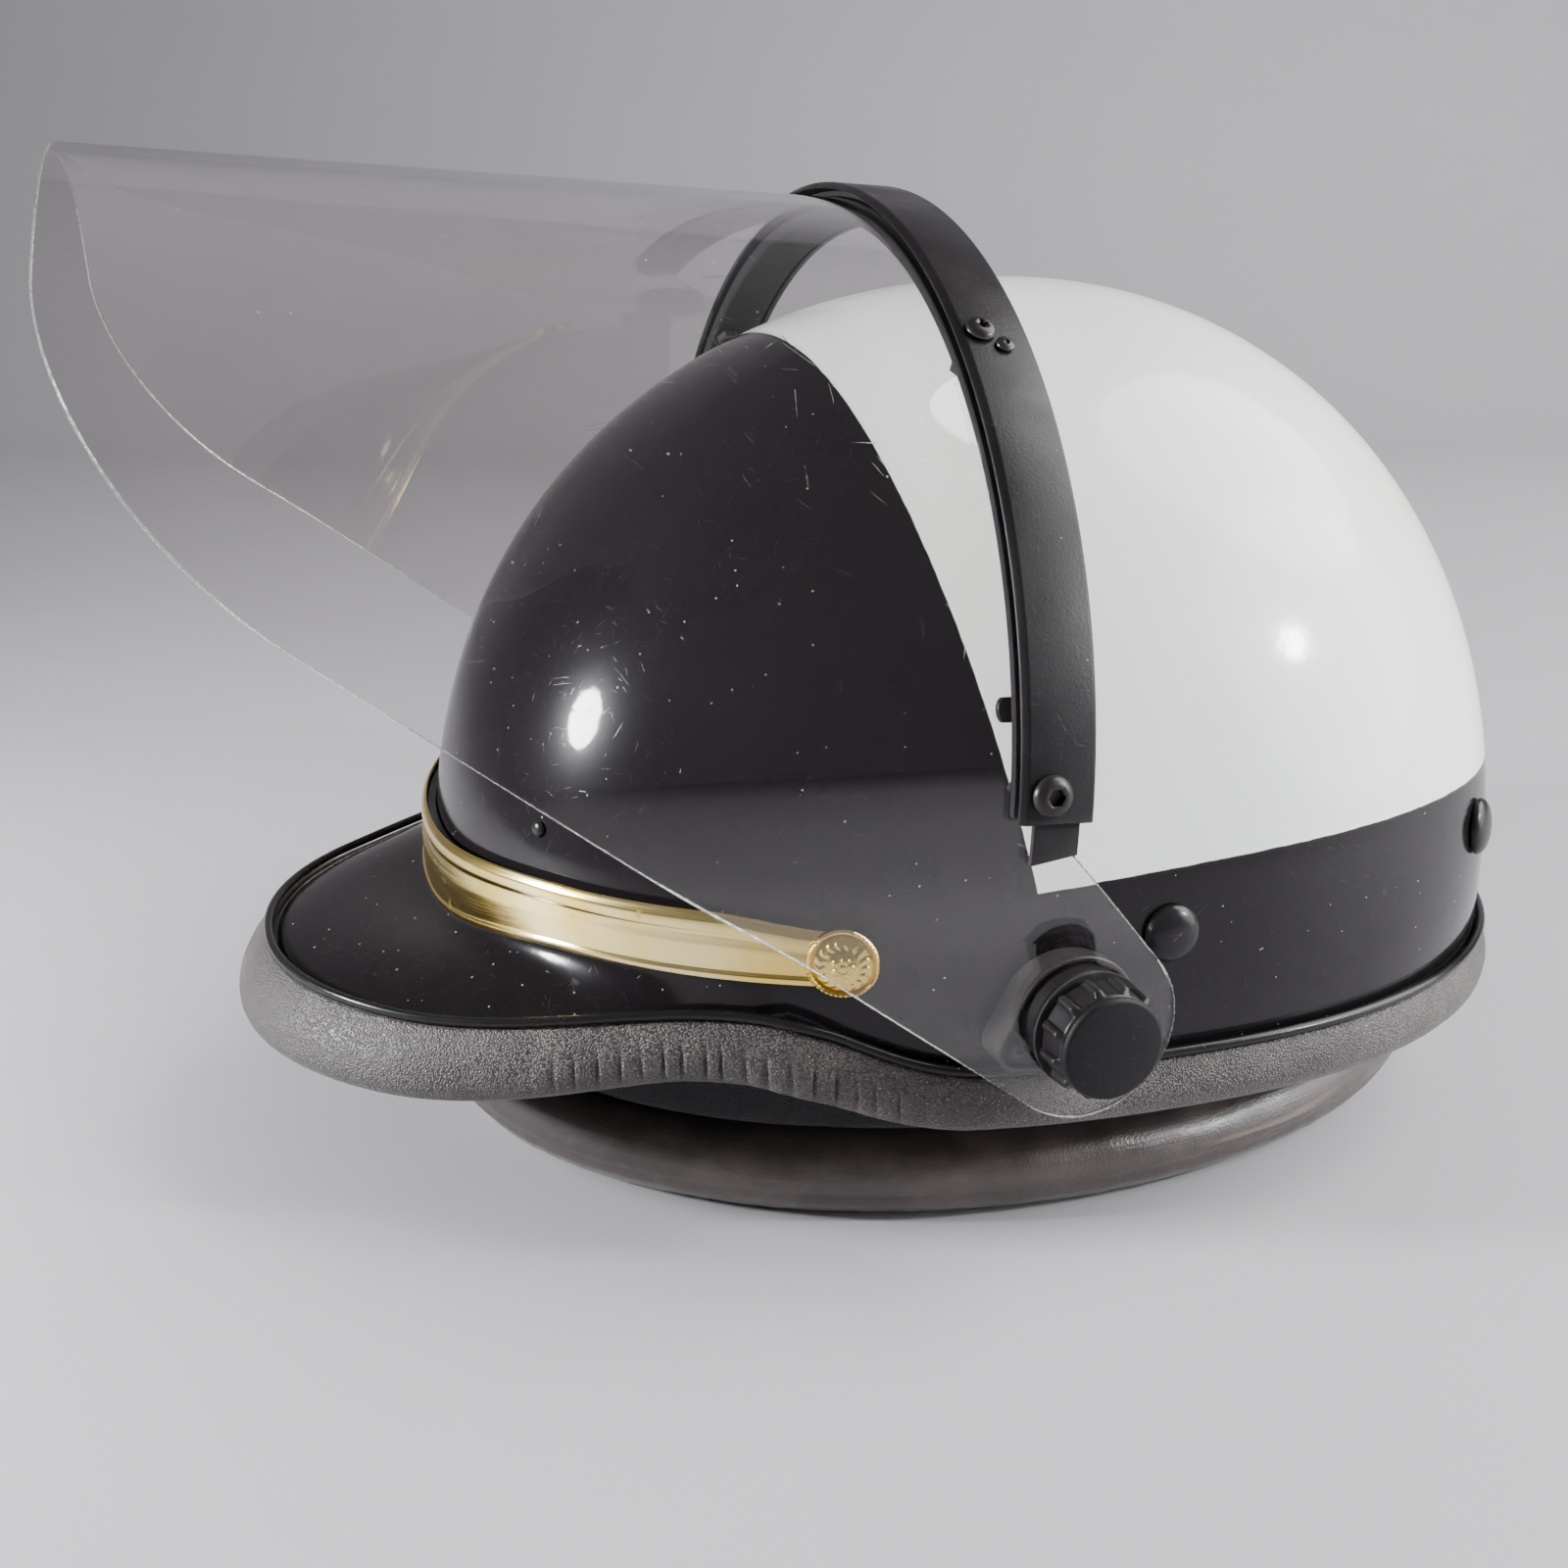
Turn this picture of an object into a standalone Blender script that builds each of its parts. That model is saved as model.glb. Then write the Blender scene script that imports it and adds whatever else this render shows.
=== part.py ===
"""Two-tone peaked duty helmet with a flip-up face shield.

Metres, +Z up. The wearer faces -Y and +X is the wearer's left. Every shape is worked out in the helmet's own plan
frame, whose Y = 0 is the shell's widest section, and one empty then centres the whole object over the origin.
Z = 0 is the underside of the neck roll, on which the helmet stands. The shield is modelled flipped up.
"""

import math

import bmesh
import bpy
from mathutils import Matrix, Vector

# Shell: a superellipse in plan, a plain wall up to WALL_TOP and a superelliptic dome above it
SHELL_HALF_WIDTH = 0.1147
SHELL_FRONT = 0.1460
SHELL_REAR = 0.1279
PLAN_POWER = 2.24
WALL_TOP = 0.0578
CROWN = 0.2001
DOME_POWER = 2.08
SHELL_WALL = 0.0030
GAP = 0.0003

# Rim: the height of the trim's upper lip at the front, at its temple hump and along the sides
RIM_FRONT = 0.0480
TEMPLE_HUMP = 0.0065
TEMPLE_DROP = 0.0122
BROW_EDGE = 0.0560
PEAK_WALL = 0.0018
PEAK_REACH = 0.0392
PEAK_SPAN = 52.0
PEAK_END = 55.0
LIP_TILT = math.radians(25.0)
TRIM_DEPTH_SIDE = 0.0125
TRIM_DEPTH_FRONT = 0.0170
TEMPLE_SAG = 0.0027
PIPING_RADIUS = 0.0011

# Cap band
BAND_END = 61.4
BAND_LOW_FRONT = 0.0570
BAND_LOW_SIDE = 0.0635
BAND_HIGH_FRONT = 0.0745
BAND_HIGH_SIDE = 0.0775
BAND_WALL = 0.0013
BUTTON_RADIUS = 0.0076
BUTTON_HEIGHT = 0.0697

# Lining
LINER_BOTTOM = 0.0590
LINER_SIDE = 0.0200
LINER_CROWN = 0.0260
LINER_RELIEF = 0.0080
SWEATBAND_TOP = 0.0880
SWEATBAND_WALL = 0.0040
LINING_TOP = 0.0540
LINING_WALL = 0.0080
ROLL_HALF_WIDTH = 0.0941
ROLL_HALF_LENGTH = 0.1253
ROLL_SHIFT = -0.0120
ROLL_RADIUS = 0.0099

# Shield: a sheet bent to an elliptic arch, wider than the shell, whose ears hang on the pivots
ARCH_HALF_WIDTH = 0.1302
ARCH_RISE = 0.1207
ARCH_CENTRE = 0.0970
ARCH_REAR = -0.0410
ARCH_PITCH = math.radians(3.2)
SHEET_WALL = 0.0018
EAR_SETBACK = 0.0057
EAR_BEND = 0.0262
EAR_RADIUS = 0.0198
SHIELD_LENGTH = 0.1798
CHIN_CORNER_RADIUS = 0.0900
CHIN_SLOPE = math.atan(1.442)
REAR_SLOPE = math.atan(0.95)
PIVOT_Y = -0.0342
PIVOT_Z = 0.0570

# Brow strip and its layers, as offsets from the sheet's outer face
STRIP_WIDTH = 0.0150
STRIP_REACH = 0.1904
STRIP_OUTER = 0.0033
STRIP_INNER = 0.0018
GASKET_OUTER = 0.0015
GASKET_REACH = 0.1969
GASKET_FRONT = 0.0114
SEAL_WALL = 0.0030
SHEET_START = 0.0018

# Fasteners on the strip: place along the arch, then across the strip
BOLT_PLACE = (0.1850, 0.0092)
SCREW_PLACE = (0.0925, 0.0100)
RIVET_PLACE = (0.0965, 0.0060)
TAB_PLACE = (0.1694, 0.0100)

# Pivots
BASE_RADIUS = 0.0135
BASE_COLUMN_RADIUS = 0.0117
BASE_STEP = 0.1172
BASE_BOTTOM = 0.0455
LUG_Y = -0.0470
LUG_Z = 0.0514
LUG_RADIUS = 0.0045
LUG_SCREW_RADIUS = 0.0018
BOLT_RADIUS = 0.0030
WASHER_RADIUS = 0.0126
KNOB_RADIUS = 0.0111
KNOB_RIBS = 12
KNOB_RIB = 0.0013
KNOB_HEIGHT = 0.0074
KNOB_CAP_RADIUS = 0.0108

# Chin harness
STRAP_RIVET_FRONT = (87.0, 0.0705)
STRAP_RIVET_REAR = (131.5, 0.0745)
PEAK_RIVET = (25.8, 0.0869)
STRAP_WIDTH = 0.0200
STRAP_WALL = 0.0016

ARCH_SAMPLES = 2000
DOME_ROWS = (0.0, 9.0, 18.0, 28.0, 39.0, 52.0, 66.0, 80.0)


# ---------------------------------------------------------------- mesh helpers

def clear_scene():
    for item in list(bpy.data.objects):
        bpy.data.objects.remove(item, do_unlink=True)


def material(name, colour, roughness, metallic=0.0, alpha=1.0):
    made = bpy.data.materials.new(name)
    made.use_nodes = True
    shader = made.node_tree.nodes["Principled BSDF"]
    shader.inputs["Base Color"].default_value = (*colour, 1.0)
    shader.inputs["Roughness"].default_value = roughness
    shader.inputs["Metallic"].default_value = metallic
    shader.inputs["Alpha"].default_value = alpha
    return made


def empty(name, point, parent=None):
    made = bpy.data.objects.new(name, None)
    made.location = point
    made.parent = parent
    bpy.context.collection.objects.link(made)
    return made


def mesh_object(name, points, faces, paint, smooth=30.0):
    mesh = bpy.data.meshes.new(name)
    mesh.from_pydata([tuple(point) for point in points], [], faces)
    shape = bmesh.new()
    shape.from_mesh(mesh)
    bmesh.ops.remove_doubles(shape, verts=shape.verts, dist=1e-6)
    bmesh.ops.recalc_face_normals(shape, faces=shape.faces)
    shape.to_mesh(mesh)
    shape.free()
    mesh.shade_smooth()
    mesh.set_sharp_from_angle(angle=math.radians(smooth))
    mesh.materials.append(paint)
    made = bpy.data.objects.new(name, mesh)
    bpy.context.collection.objects.link(made)
    return made


def loft(name, rings, paint, closed=False, smooth=30.0):
    """A solid through rings of equally many points: a closed loop of rings, or an open run with flat ends."""
    count = len(rings[0])
    points = [point for ring in rings for point in ring]
    faces = []
    for index in range(len(rings) if closed else len(rings) - 1):
        here = index * count
        there = (index + 1) % len(rings) * count
        for corner in range(count):
            after = (corner + 1) % count
            faces.append((here + corner, here + after, there + after, there + corner))
    if not closed:
        faces.append(tuple(range(count)))
        faces.append(tuple(range(len(points) - count, len(points))))
    return mesh_object(name, points, faces, paint, smooth)


def turned(name, profile, segments, paint, wave=None):
    """A solid of revolution about +Z from (radius, height) pairs, both ends on the axis."""
    points = []
    faces = []
    for row, (radius, height) in enumerate(profile):
        for step in range(segments):
            reach = radius * wave(row, step) if wave else radius
            angle = math.tau * step / segments
            points.append((reach * math.cos(angle), reach * math.sin(angle), height))
    for row in range(len(profile) - 1):
        for step in range(segments):
            after = (step + 1) % segments
            here = row * segments
            there = here + segments
            faces.append((here + step, here + after, there + after, there + step))
    faces.append(tuple(range(segments)))
    faces.append(tuple(range(len(points) - segments, len(points))))
    return mesh_object(name, points, faces, paint)


def place(item, anchor, point, direction=Vector((0.0, 0.0, 1.0))):
    """Parents the object to an anchor (empty, its point) and points its +Z along direction."""
    holder, origin = anchor
    item.parent = holder
    item.location = Vector(point) - origin
    item.rotation_euler = direction.to_track_quat("Z", "Y").to_euler()


def settle(item, anchor):
    """Parents an object whose mesh was drawn in the helmet's frame."""
    holder, origin = anchor
    item.data.transform(Matrix.Translation(-origin))
    item.parent = holder


def cutter(name, holes, anchor):
    """One hidden mesh of round bars: (centre, direction, radius, length) each."""
    shape = bmesh.new()
    for centre, direction, radius, length in holes:
        turn = direction.to_track_quat("Z", "Y").to_matrix().to_4x4()
        bmesh.ops.create_cone(
            shape,
            cap_ends=True,
            segments=12,
            radius1=radius,
            radius2=radius,
            depth=length,
            matrix=Matrix.Translation(centre) @ turn,
        )
    mesh = bpy.data.meshes.new(name)
    shape.to_mesh(mesh)
    shape.free()
    made = bpy.data.objects.new(name, mesh)
    made.hide_render = True
    made.display_type = "WIRE"
    bpy.context.collection.objects.link(made)
    settle(made, anchor)
    return made


def drill(item, bars):
    cut = item.modifiers.new("holes", "BOOLEAN")
    cut.operation = "DIFFERENCE"
    cut.object = bars


def ramp(value, start, end):
    share = min(1.0, max(0.0, (value - start) / (end - start)))
    return share * share * (3.0 - 2.0 * share)


def smooth_path(corners, per_span):
    """Points on a Catmull-Rom curve through the corners."""
    guide = [2 * corners[0] - corners[1], *corners, 2 * corners[-1] - corners[-2]]
    path = []
    for index in range(1, len(guide) - 2):
        before, start, end, after = guide[index - 1:index + 3]
        for step in range(per_span):
            t = step / per_span
            path.append(
                0.5 * (2 * start + (end - before) * t
                       + (2 * before - 5 * start + 4 * end - after) * t ** 2
                       + (3 * start - before - 3 * end + after) * t ** 3)
            )
    path.append(corners[-1])
    return path


# ---------------------------------------------------------------- shell geometry

def signed_power(value, power):
    return math.copysign(abs(value) ** power, value)


def plan_point(angle):
    """The shell's wall in plan; the angle in degrees runs from the front (0) over the wearer's left (90)."""
    turn = math.radians(angle)
    length = SHELL_FRONT if math.cos(turn) > 0 else SHELL_REAR
    x = SHELL_HALF_WIDTH * signed_power(math.sin(turn), 2 / PLAN_POWER)
    y = -length * signed_power(math.cos(turn), 2 / PLAN_POWER)
    return Vector((x, y, 0.0))


def plan_normal(angle):
    point = plan_point(angle)
    length = SHELL_FRONT if point.y < 0 else SHELL_REAR
    across = signed_power(point.x / SHELL_HALF_WIDTH, PLAN_POWER - 1) / SHELL_HALF_WIDTH
    along = signed_power(point.y / length, PLAN_POWER - 1) / length
    return Vector((across, along, 0.0)).normalized()


def dome_point(angle, tilt, offset):
    """A point off the shell's outer face; tilt runs from the wall's top (0) to the crown (90 degrees)."""
    turn = math.radians(tilt)
    spread = max(0.0, math.cos(turn)) ** (2 / DOME_POWER)
    rise = math.sin(turn) ** (2 / DOME_POWER)
    plan = plan_point(angle)
    height = CROWN - WALL_TOP
    length = SHELL_FRONT if plan.y < 0 else SHELL_REAR
    share = spread ** (DOME_POWER - PLAN_POWER) if spread > 1e-4 else 0.0
    across = signed_power(plan.x * spread / SHELL_HALF_WIDTH, PLAN_POWER - 1) / SHELL_HALF_WIDTH
    along = signed_power(plan.y * spread / length, PLAN_POWER - 1) / length
    normal = Vector((share * across, share * along, rise ** (DOME_POWER - 1) / height)).normalized()
    return Vector((plan.x * spread, plan.y * spread, WALL_TOP + height * rise)) + normal * offset


def tilt_at(height):
    rise = max(0.0, height - WALL_TOP) / (CROWN - WALL_TOP)
    return math.degrees(math.asin(rise ** (DOME_POWER / 2)))


def shell_point(angle, height, offset):
    """A point off the shell's outer face at a height, on the wall or on the dome."""
    if height <= WALL_TOP:
        return plan_point(angle) + plan_normal(angle) * offset + Vector((0.0, 0.0, height))
    return dome_point(angle, tilt_at(height), offset)


def shell_normal(angle, height):
    return (shell_point(angle, height, 0.001) - shell_point(angle, height, 0.0)).normalized()


# ---------------------------------------------------------------- rim geometry

def rim_angles():
    """Stations round the rim, close together at the temples, where it changes most."""
    half = [5.0 * step for step in range(9)]
    half += [43.0 + 3.0 * step for step in range(8)]
    half += [71.0 + 7.0 * step for step in range(16)]
    return [-angle for angle in reversed(half[1:])] + half + [180.0]


def peak_wave(angle):
    """1 at the front of the peak, falling to 0 at the temples."""
    if abs(angle) >= PEAK_SPAN:
        return 0.0
    return math.cos(math.radians(90.0 * angle / PEAK_SPAN))


def rim_height(angle):
    turn = abs(angle)
    return RIM_FRONT + TEMPLE_HUMP * ramp(turn, 20.0, 51.0) - TEMPLE_DROP * ramp(turn, 52.0, 72.0)


def rim_offset(angle):
    """How far the face that the trim grips stands off the shell's outer face."""
    over_shell = GAP + PEAK_WALL
    return over_shell * (1.0 - ramp(abs(angle), PEAK_END, 61.0)) + PEAK_REACH * peak_wave(angle) ** 2


def rim_thickness(angle):
    """What the trim grips: the peak alone in front, peak and shell at the temples, the shell behind."""
    both = rim_offset(angle) + SHELL_WALL
    share = ramp(abs(angle), 43.0, 49.0)
    return PEAK_WALL * (1.0 - share) + both * share


def rim_point(angle):
    return plan_point(angle) + plan_normal(angle) * rim_offset(angle) + Vector((0.0, 0.0, rim_height(angle)))


def rim_frame(angle):
    """The gripped edge's outward and upward directions in its cross-section."""
    along = rim_point(angle + 0.5) - rim_point(angle - 0.5)
    out = Vector((-along.y, along.x, 0.0)).normalized()
    if out.dot(plan_normal(angle)) < 0:
        out.negate()
    tilt = LIP_TILT * peak_wave(angle)
    up = Vector((0.0, 0.0, 1.0))
    return out * math.cos(tilt) + up * math.sin(tilt), up * math.cos(tilt) - out * math.sin(tilt)


def rim_section(angle, profile):
    out, up = rim_frame(angle)
    origin = rim_point(angle)
    return [origin + out * across + up * height for across, height in profile]


def trim_depth(angle):
    temple = 1.0 - ramp(abs(abs(angle) - 57.0), 0.0, 15.0)
    return TRIM_DEPTH_SIDE + (TRIM_DEPTH_FRONT - TRIM_DEPTH_SIDE) * peak_wave(angle) + TEMPLE_SAG * temple


def trim_profile(angle):
    """The channel's section: outer leg, rounded foot, inner leg and the slot between them."""
    depth = trim_depth(angle)
    inner = -rim_thickness(angle) - GAP - 0.0001
    return [
        (GAP, 0.0),
        (0.0016, 0.0),
        (0.0030, -0.25 * depth),
        (0.0039, -0.55 * depth),
        (0.0035, -0.84 * depth),
        (0.0014, -depth),
        (inner - 0.0004, -depth),
        (inner - 0.0020, -0.80 * depth),
        (inner - 0.0016, -0.0028),
        (inner, -0.0020),
        (inner, -0.60 * depth),
        (GAP, -0.60 * depth),
    ]


def band_low(angle):
    return BAND_LOW_FRONT + (BAND_LOW_SIDE - BAND_LOW_FRONT) * ramp(abs(angle), 0.0, 34.0)


def band_high(angle):
    rise = (BAND_HIGH_SIDE - BAND_HIGH_FRONT) * ramp(abs(angle), 0.0, 30.0)
    return BAND_HIGH_FRONT + rise - 0.0022 * ramp(abs(angle), 48.0, 62.0)


# ---------------------------------------------------------------- helmet pieces

def dome_solid(name, columns, outer_rows, inner_rows, outer_pole, inner_pole, paint):
    """A thick cap: rows of functions of the angle from the lower edge upwards, closed by a pole on each side."""
    count = len(columns)
    points = [row(angle) for row in outer_rows + inner_rows for angle in columns]
    points += [outer_pole, inner_pole]
    rows = len(outer_rows)
    faces = []

    def quads(first, second):
        for step in range(count):
            after = (step + 1) % count
            faces.append((first * count + step, first * count + after, second * count + after, second * count + step))

    for row in range(rows - 1):
        quads(row, row + 1)
    for row in range(rows, rows + len(inner_rows) - 1):
        quads(row, row + 1)
    quads(0, rows)
    for step in range(count):
        after = (step + 1) % count
        outer_top = (rows - 1) * count
        inner_top = (rows + len(inner_rows) - 1) * count
        faces.append((outer_top + step, outer_top + after, len(points) - 2))
        faces.append((inner_top + step, inner_top + after, len(points) - 1))
    return mesh_object(name, points, faces, paint, 50.0)


def shell_edge(angle):
    """The bare brow edge over the peak, and the edge inside the trim behind the temples."""
    inside = rim_height(angle) - 0.0065
    share = ramp(abs(angle), 49.0, 55.0)
    return BROW_EDGE * (1.0 - share) + inside * share


def make_shell(columns, paint, holes, anchor):
    def rows(offset):
        made = [lambda angle: shell_point(angle, shell_edge(angle), offset)]
        for tilt in DOME_ROWS:
            made.append(lambda angle, tilt=tilt: dome_point(angle, tilt, offset))
        return made

    crown = Vector((0.0, 0.0, CROWN))
    inside = crown - Vector((0.0, 0.0, SHELL_WALL))
    shell = dome_solid("shell", columns, rows(0.0), rows(-SHELL_WALL), crown, inside, paint)
    settle(shell, anchor)
    drill(shell, holes)


def peak_section(angle):
    """The peak's closed section: flange on the shell, swept plate, turned-down lip, and back along the underside."""
    over = GAP + PEAK_WALL
    reach = rim_offset(angle) - over
    foot = rim_height(angle)
    root = band_low(angle) + 0.0005
    top = Vector((over, band_high(angle) - 0.0015))
    start = Vector((over, root))
    bend = Vector((over, root - 0.0070 * peak_wave(angle) - 0.0010))
    shoulder = Vector((over + 0.55 * reach, foot + 0.20 * reach + 0.0015))
    edge = Vector((over + reach, foot))
    tilt = LIP_TILT * peak_wave(angle)
    lip = Vector((math.sin(tilt), -math.cos(tilt))) * 0.5 * trim_depth(angle)
    outline = [top, start]
    for t in (0.2, 0.4, 0.6, 0.8, 0.93):
        s = 1.0 - t
        outline.append(start * s ** 3 + bend * 3 * s * s * t + shoulder * 3 * s * t * t + edge * t ** 3)
    outline += [edge, edge + lip]
    inside = []
    for index, point in enumerate(outline):
        before = outline[max(0, index - 1)]
        after = outline[min(len(outline) - 1, index + 1)]
        along = (after - before).normalized()
        inside.append(point + Vector((along.y, -along.x)) * PEAK_WALL)
    flange = Vector((-PEAK_WALL, 0.0))
    inside[0] = outline[0] + flange
    inside[1] = outline[1] + flange
    base = plan_point(angle)
    normal = plan_normal(angle)
    section = []
    for point in outline + inside[::-1]:
        if point.y > WALL_TOP:
            section.append(shell_point(angle, point.y, point.x))
        else:
            section.append(base + normal * point.x + Vector((0.0, 0.0, point.y)))
    return section


def make_rim(columns, anchor, paints):
    front = [angle for angle in columns if abs(angle) <= PEAK_END]
    peak = loft("peak", [peak_section(angle) for angle in front], paints["black_gloss"])
    settle(peak, anchor)
    trim = loft("edge_trim", [rim_section(angle, trim_profile(angle)) for angle in columns], paints["trim"], True)
    settle(trim, anchor)
    bead = []
    for step in range(6):
        turn = math.tau * step / 6
        bead.append((0.0016 + PIPING_RADIUS * math.cos(turn), 0.0015 + PIPING_RADIUS * math.sin(turn)))
    piping = loft("edge_piping", [rim_section(angle, bead) for angle in columns], paints["piping"], True, 70.0)
    settle(piping, anchor)


def make_cap_band(anchor, paints):
    inner = 2 * GAP + PEAK_WALL + 0.0001
    outer = inner + BAND_WALL
    rings = []
    for step in range(33):
        angle = BAND_END * (step / 16 - 1)
        low = band_low(angle)
        high = band_high(angle)
        profile = [
            (inner, low),
            (outer - 0.0004, low),
            (outer, low + 0.0008),
            (outer, high - 0.0022),
            (outer - 0.0008, high),
            (inner, high),
        ]
        rings.append([shell_point(angle, height, offset) for offset, height in profile])
    band = loft("cap_band", rings, paints["gold"])
    settle(band, anchor)
    button = [
        (BUTTON_RADIUS * 0.90, 0.0),
        (BUTTON_RADIUS, 0.0008),
        (BUTTON_RADIUS * 0.96, 0.0017),
        (BUTTON_RADIUS * 0.84, 0.0021),
        (BUTTON_RADIUS * 0.50, 0.0029),
        (BUTTON_RADIUS * 0.12, 0.0032),
    ]
    for side, name in ((1, "cap_button_left"), (-1, "cap_button_right")):
        made = turned(name, button, 20, paints["gold"])
        angle = side * (BAND_END - 1.2)
        place(made, anchor, shell_point(angle, BUTTON_HEIGHT, outer + GAP), shell_normal(angle, BUTTON_HEIGHT))


def rivet_profile(head, shank, crown, grip, tail):
    """Domed head outside, shank, and a flat tail inside; height 0 is the outer face it clamps."""
    return [
        (tail, -grip - 0.0012),
        (tail, -grip),
        (shank, -grip),
        (shank, GAP),
        (head, GAP),
        (head * 0.93, crown * 0.50),
        (head * 0.62, crown * 0.86),
        (head * 0.15, crown),
    ]


def make_rivets(anchor, paints):
    rows = (
        ("strap_rivet_front", STRAP_RIVET_FRONT, rivet_profile(0.0062, 0.0020, 0.0032, 0.0063, 0.0045)),
        ("strap_rivet_rear", STRAP_RIVET_REAR, rivet_profile(0.0068, 0.0020, 0.0032, 0.0063, 0.0045)),
        ("peak_rivet", PEAK_RIVET, rivet_profile(0.0018, 0.0011, 0.0012, 0.0040, 0.0022)),
    )
    for stem, (angle, height), profile in rows:
        for side, word in ((1, "left"), (-1, "right")):
            made = turned(f"{stem}_{word}", profile, 14, paints["rivet"])
            place(made, anchor, shell_point(side * angle, height, 0.0), shell_normal(side * angle, height))


def make_liner(columns, anchor, paints):
    tilts = DOME_ROWS[2:]

    def outer_offset(tilt):
        return -LINER_RELIEF + (LINER_RELIEF - SHELL_WALL - 0.0006) * ramp(tilt, 18.0, 39.0)

    def inner_offset(tilt):
        return -LINER_RELIEF - LINER_SIDE - (LINER_CROWN - LINER_SIDE) * ramp(tilt, 20.0, 80.0)

    def rows(offset):
        made = [lambda angle: shell_point(angle, LINER_BOTTOM, offset(0.0))]
        for tilt in tilts:
            made.append(lambda angle, tilt=tilt: dome_point(angle, tilt, offset(tilt)))
        return made

    top = Vector((0.0, 0.0, CROWN + outer_offset(90.0)))
    under = Vector((0.0, 0.0, CROWN + inner_offset(90.0)))
    liner = dome_solid("impact_liner", columns, rows(outer_offset), rows(inner_offset), top, under, paints["foam"])
    settle(liner, anchor)

    pad_tilts = DOME_ROWS[-2:]
    pad_outer = [lambda angle, tilt=tilt: dome_point(angle, tilt, inner_offset(tilt) - 0.0010) for tilt in pad_tilts]
    pad_inner = [lambda angle, tilt=tilt: dome_point(angle, tilt, inner_offset(tilt) - 0.0080) for tilt in pad_tilts]
    drop = Vector((0.0, 0.0, 0.0010))
    depth = Vector((0.0, 0.0, 0.0080))
    pad = dome_solid("crown_pad", columns[::2], pad_outer, pad_inner, under - drop, under - depth, paints["padding"])
    settle(pad, anchor)

    inner = -LINER_RELIEF - LINER_SIDE - 0.0012
    rings = []
    for angle in columns:
        ring = []
        for height, extra in ((LINER_BOTTOM + 0.0010, 0.0), (SWEATBAND_TOP, -0.0008)):
            ring.append(shell_point(angle, height, inner + extra))
        for height, extra in ((SWEATBAND_TOP, -0.0008), (LINER_BOTTOM + 0.0010, 0.0)):
            ring.append(shell_point(angle, height, inner + extra - SWEATBAND_WALL))
        rings.append(ring)
    sweatband = loft("sweatband", rings, paints["leather"], True)
    settle(sweatband, anchor)


def roll_point(angle, offset, height):
    """A point beside the neck roll's centreline, an ellipse a little ahead of the shell's centre."""
    turn = math.radians(angle)
    centre = Vector((ROLL_HALF_WIDTH * math.sin(turn), ROLL_SHIFT - ROLL_HALF_LENGTH * math.cos(turn), 0.0))
    out = Vector((math.sin(turn) / ROLL_HALF_WIDTH, -math.cos(turn) / ROLL_HALF_LENGTH, 0.0)).normalized()
    return centre + out * offset + Vector((0.0, 0.0, height))


def make_neck_roll(anchor, paints):
    full = ROLL_RADIUS
    profile = [
        (-0.34 * full, 0.0),
        (0.34 * full, 0.0),
        (0.80 * full, 0.24 * full),
        (full, 0.85 * full),
        (0.86 * full, 1.50 * full),
        (0.34 * full, 1.96 * full),
        (-0.34 * full, 1.96 * full),
        (-0.86 * full, 1.50 * full),
        (-full, 0.85 * full),
        (-0.80 * full, 0.24 * full),
    ]
    angles = [7.5 * step for step in range(48)]
    rings = [[roll_point(angle, offset, height) for offset, height in profile] for angle in angles]
    roll = loft("neck_roll", rings, paints["vinyl"], True, 60.0)
    settle(roll, anchor)

    low = 1.96 * full + 2 * GAP
    half = LINING_WALL / 2
    rings = []
    for angle in angles[::1]:
        turn = math.radians(angle)
        wide = SHELL_HALF_WIDTH - SHELL_WALL - 0.0100
        long = (SHELL_FRONT if math.cos(turn) > 0 else SHELL_REAR) - SHELL_WALL - 0.0100
        top = Vector((wide * math.sin(turn), -long * math.cos(turn), LINING_TOP))
        out = Vector((math.sin(turn) / wide, -math.cos(turn) / long, 0.0)).normalized()
        rings.append([
            roll_point(angle, -half, low),
            roll_point(angle, half, low),
            top + out * half,
            top - out * half,
        ])
    lining = loft("lining_band", rings, paints["padding"], True)
    settle(lining, anchor)


def ribbon(name, path, widths, paint, anchor):
    """Webbing along a path; widths holds the direction across it at each point."""
    rings = []
    for index, point in enumerate(path):
        before = path[max(0, index - 1)]
        after = path[min(len(path) - 1, index + 1)]
        along = (after - before).normalized()
        across = (widths[index] - along * widths[index].dot(along)).normalized()
        face = along.cross(across) * (STRAP_WALL / 2)
        half = across * (STRAP_WIDTH / 2)
        rings.append([point - half - face, point + half - face, point + half + face, point - half + face])
    made = loft(name, rings, paint)
    settle(made, anchor)
    return made


def strap_drop(side, angle, top):
    """From the rivet down the shell's inner face, over the lining band and down inside it."""
    wall = -SHELL_WALL - 0.0019
    inside = -0.0325 - (0.0020 if angle > 90.0 else 0.0)
    corners = [
        shell_point(side * angle, top + 0.0080, wall),
        shell_point(side * angle, 0.0640, wall - 0.0004),
        shell_point(side * angle, 0.0575, wall - 0.0020),
        shell_point(side * angle, 0.0564, -0.0120),
        shell_point(side * angle, 0.0560, -0.0205),
        shell_point(side * angle, 0.0500, -0.0275),
        shell_point(side * angle, 0.0300, inside),
    ]
    return corners


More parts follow.
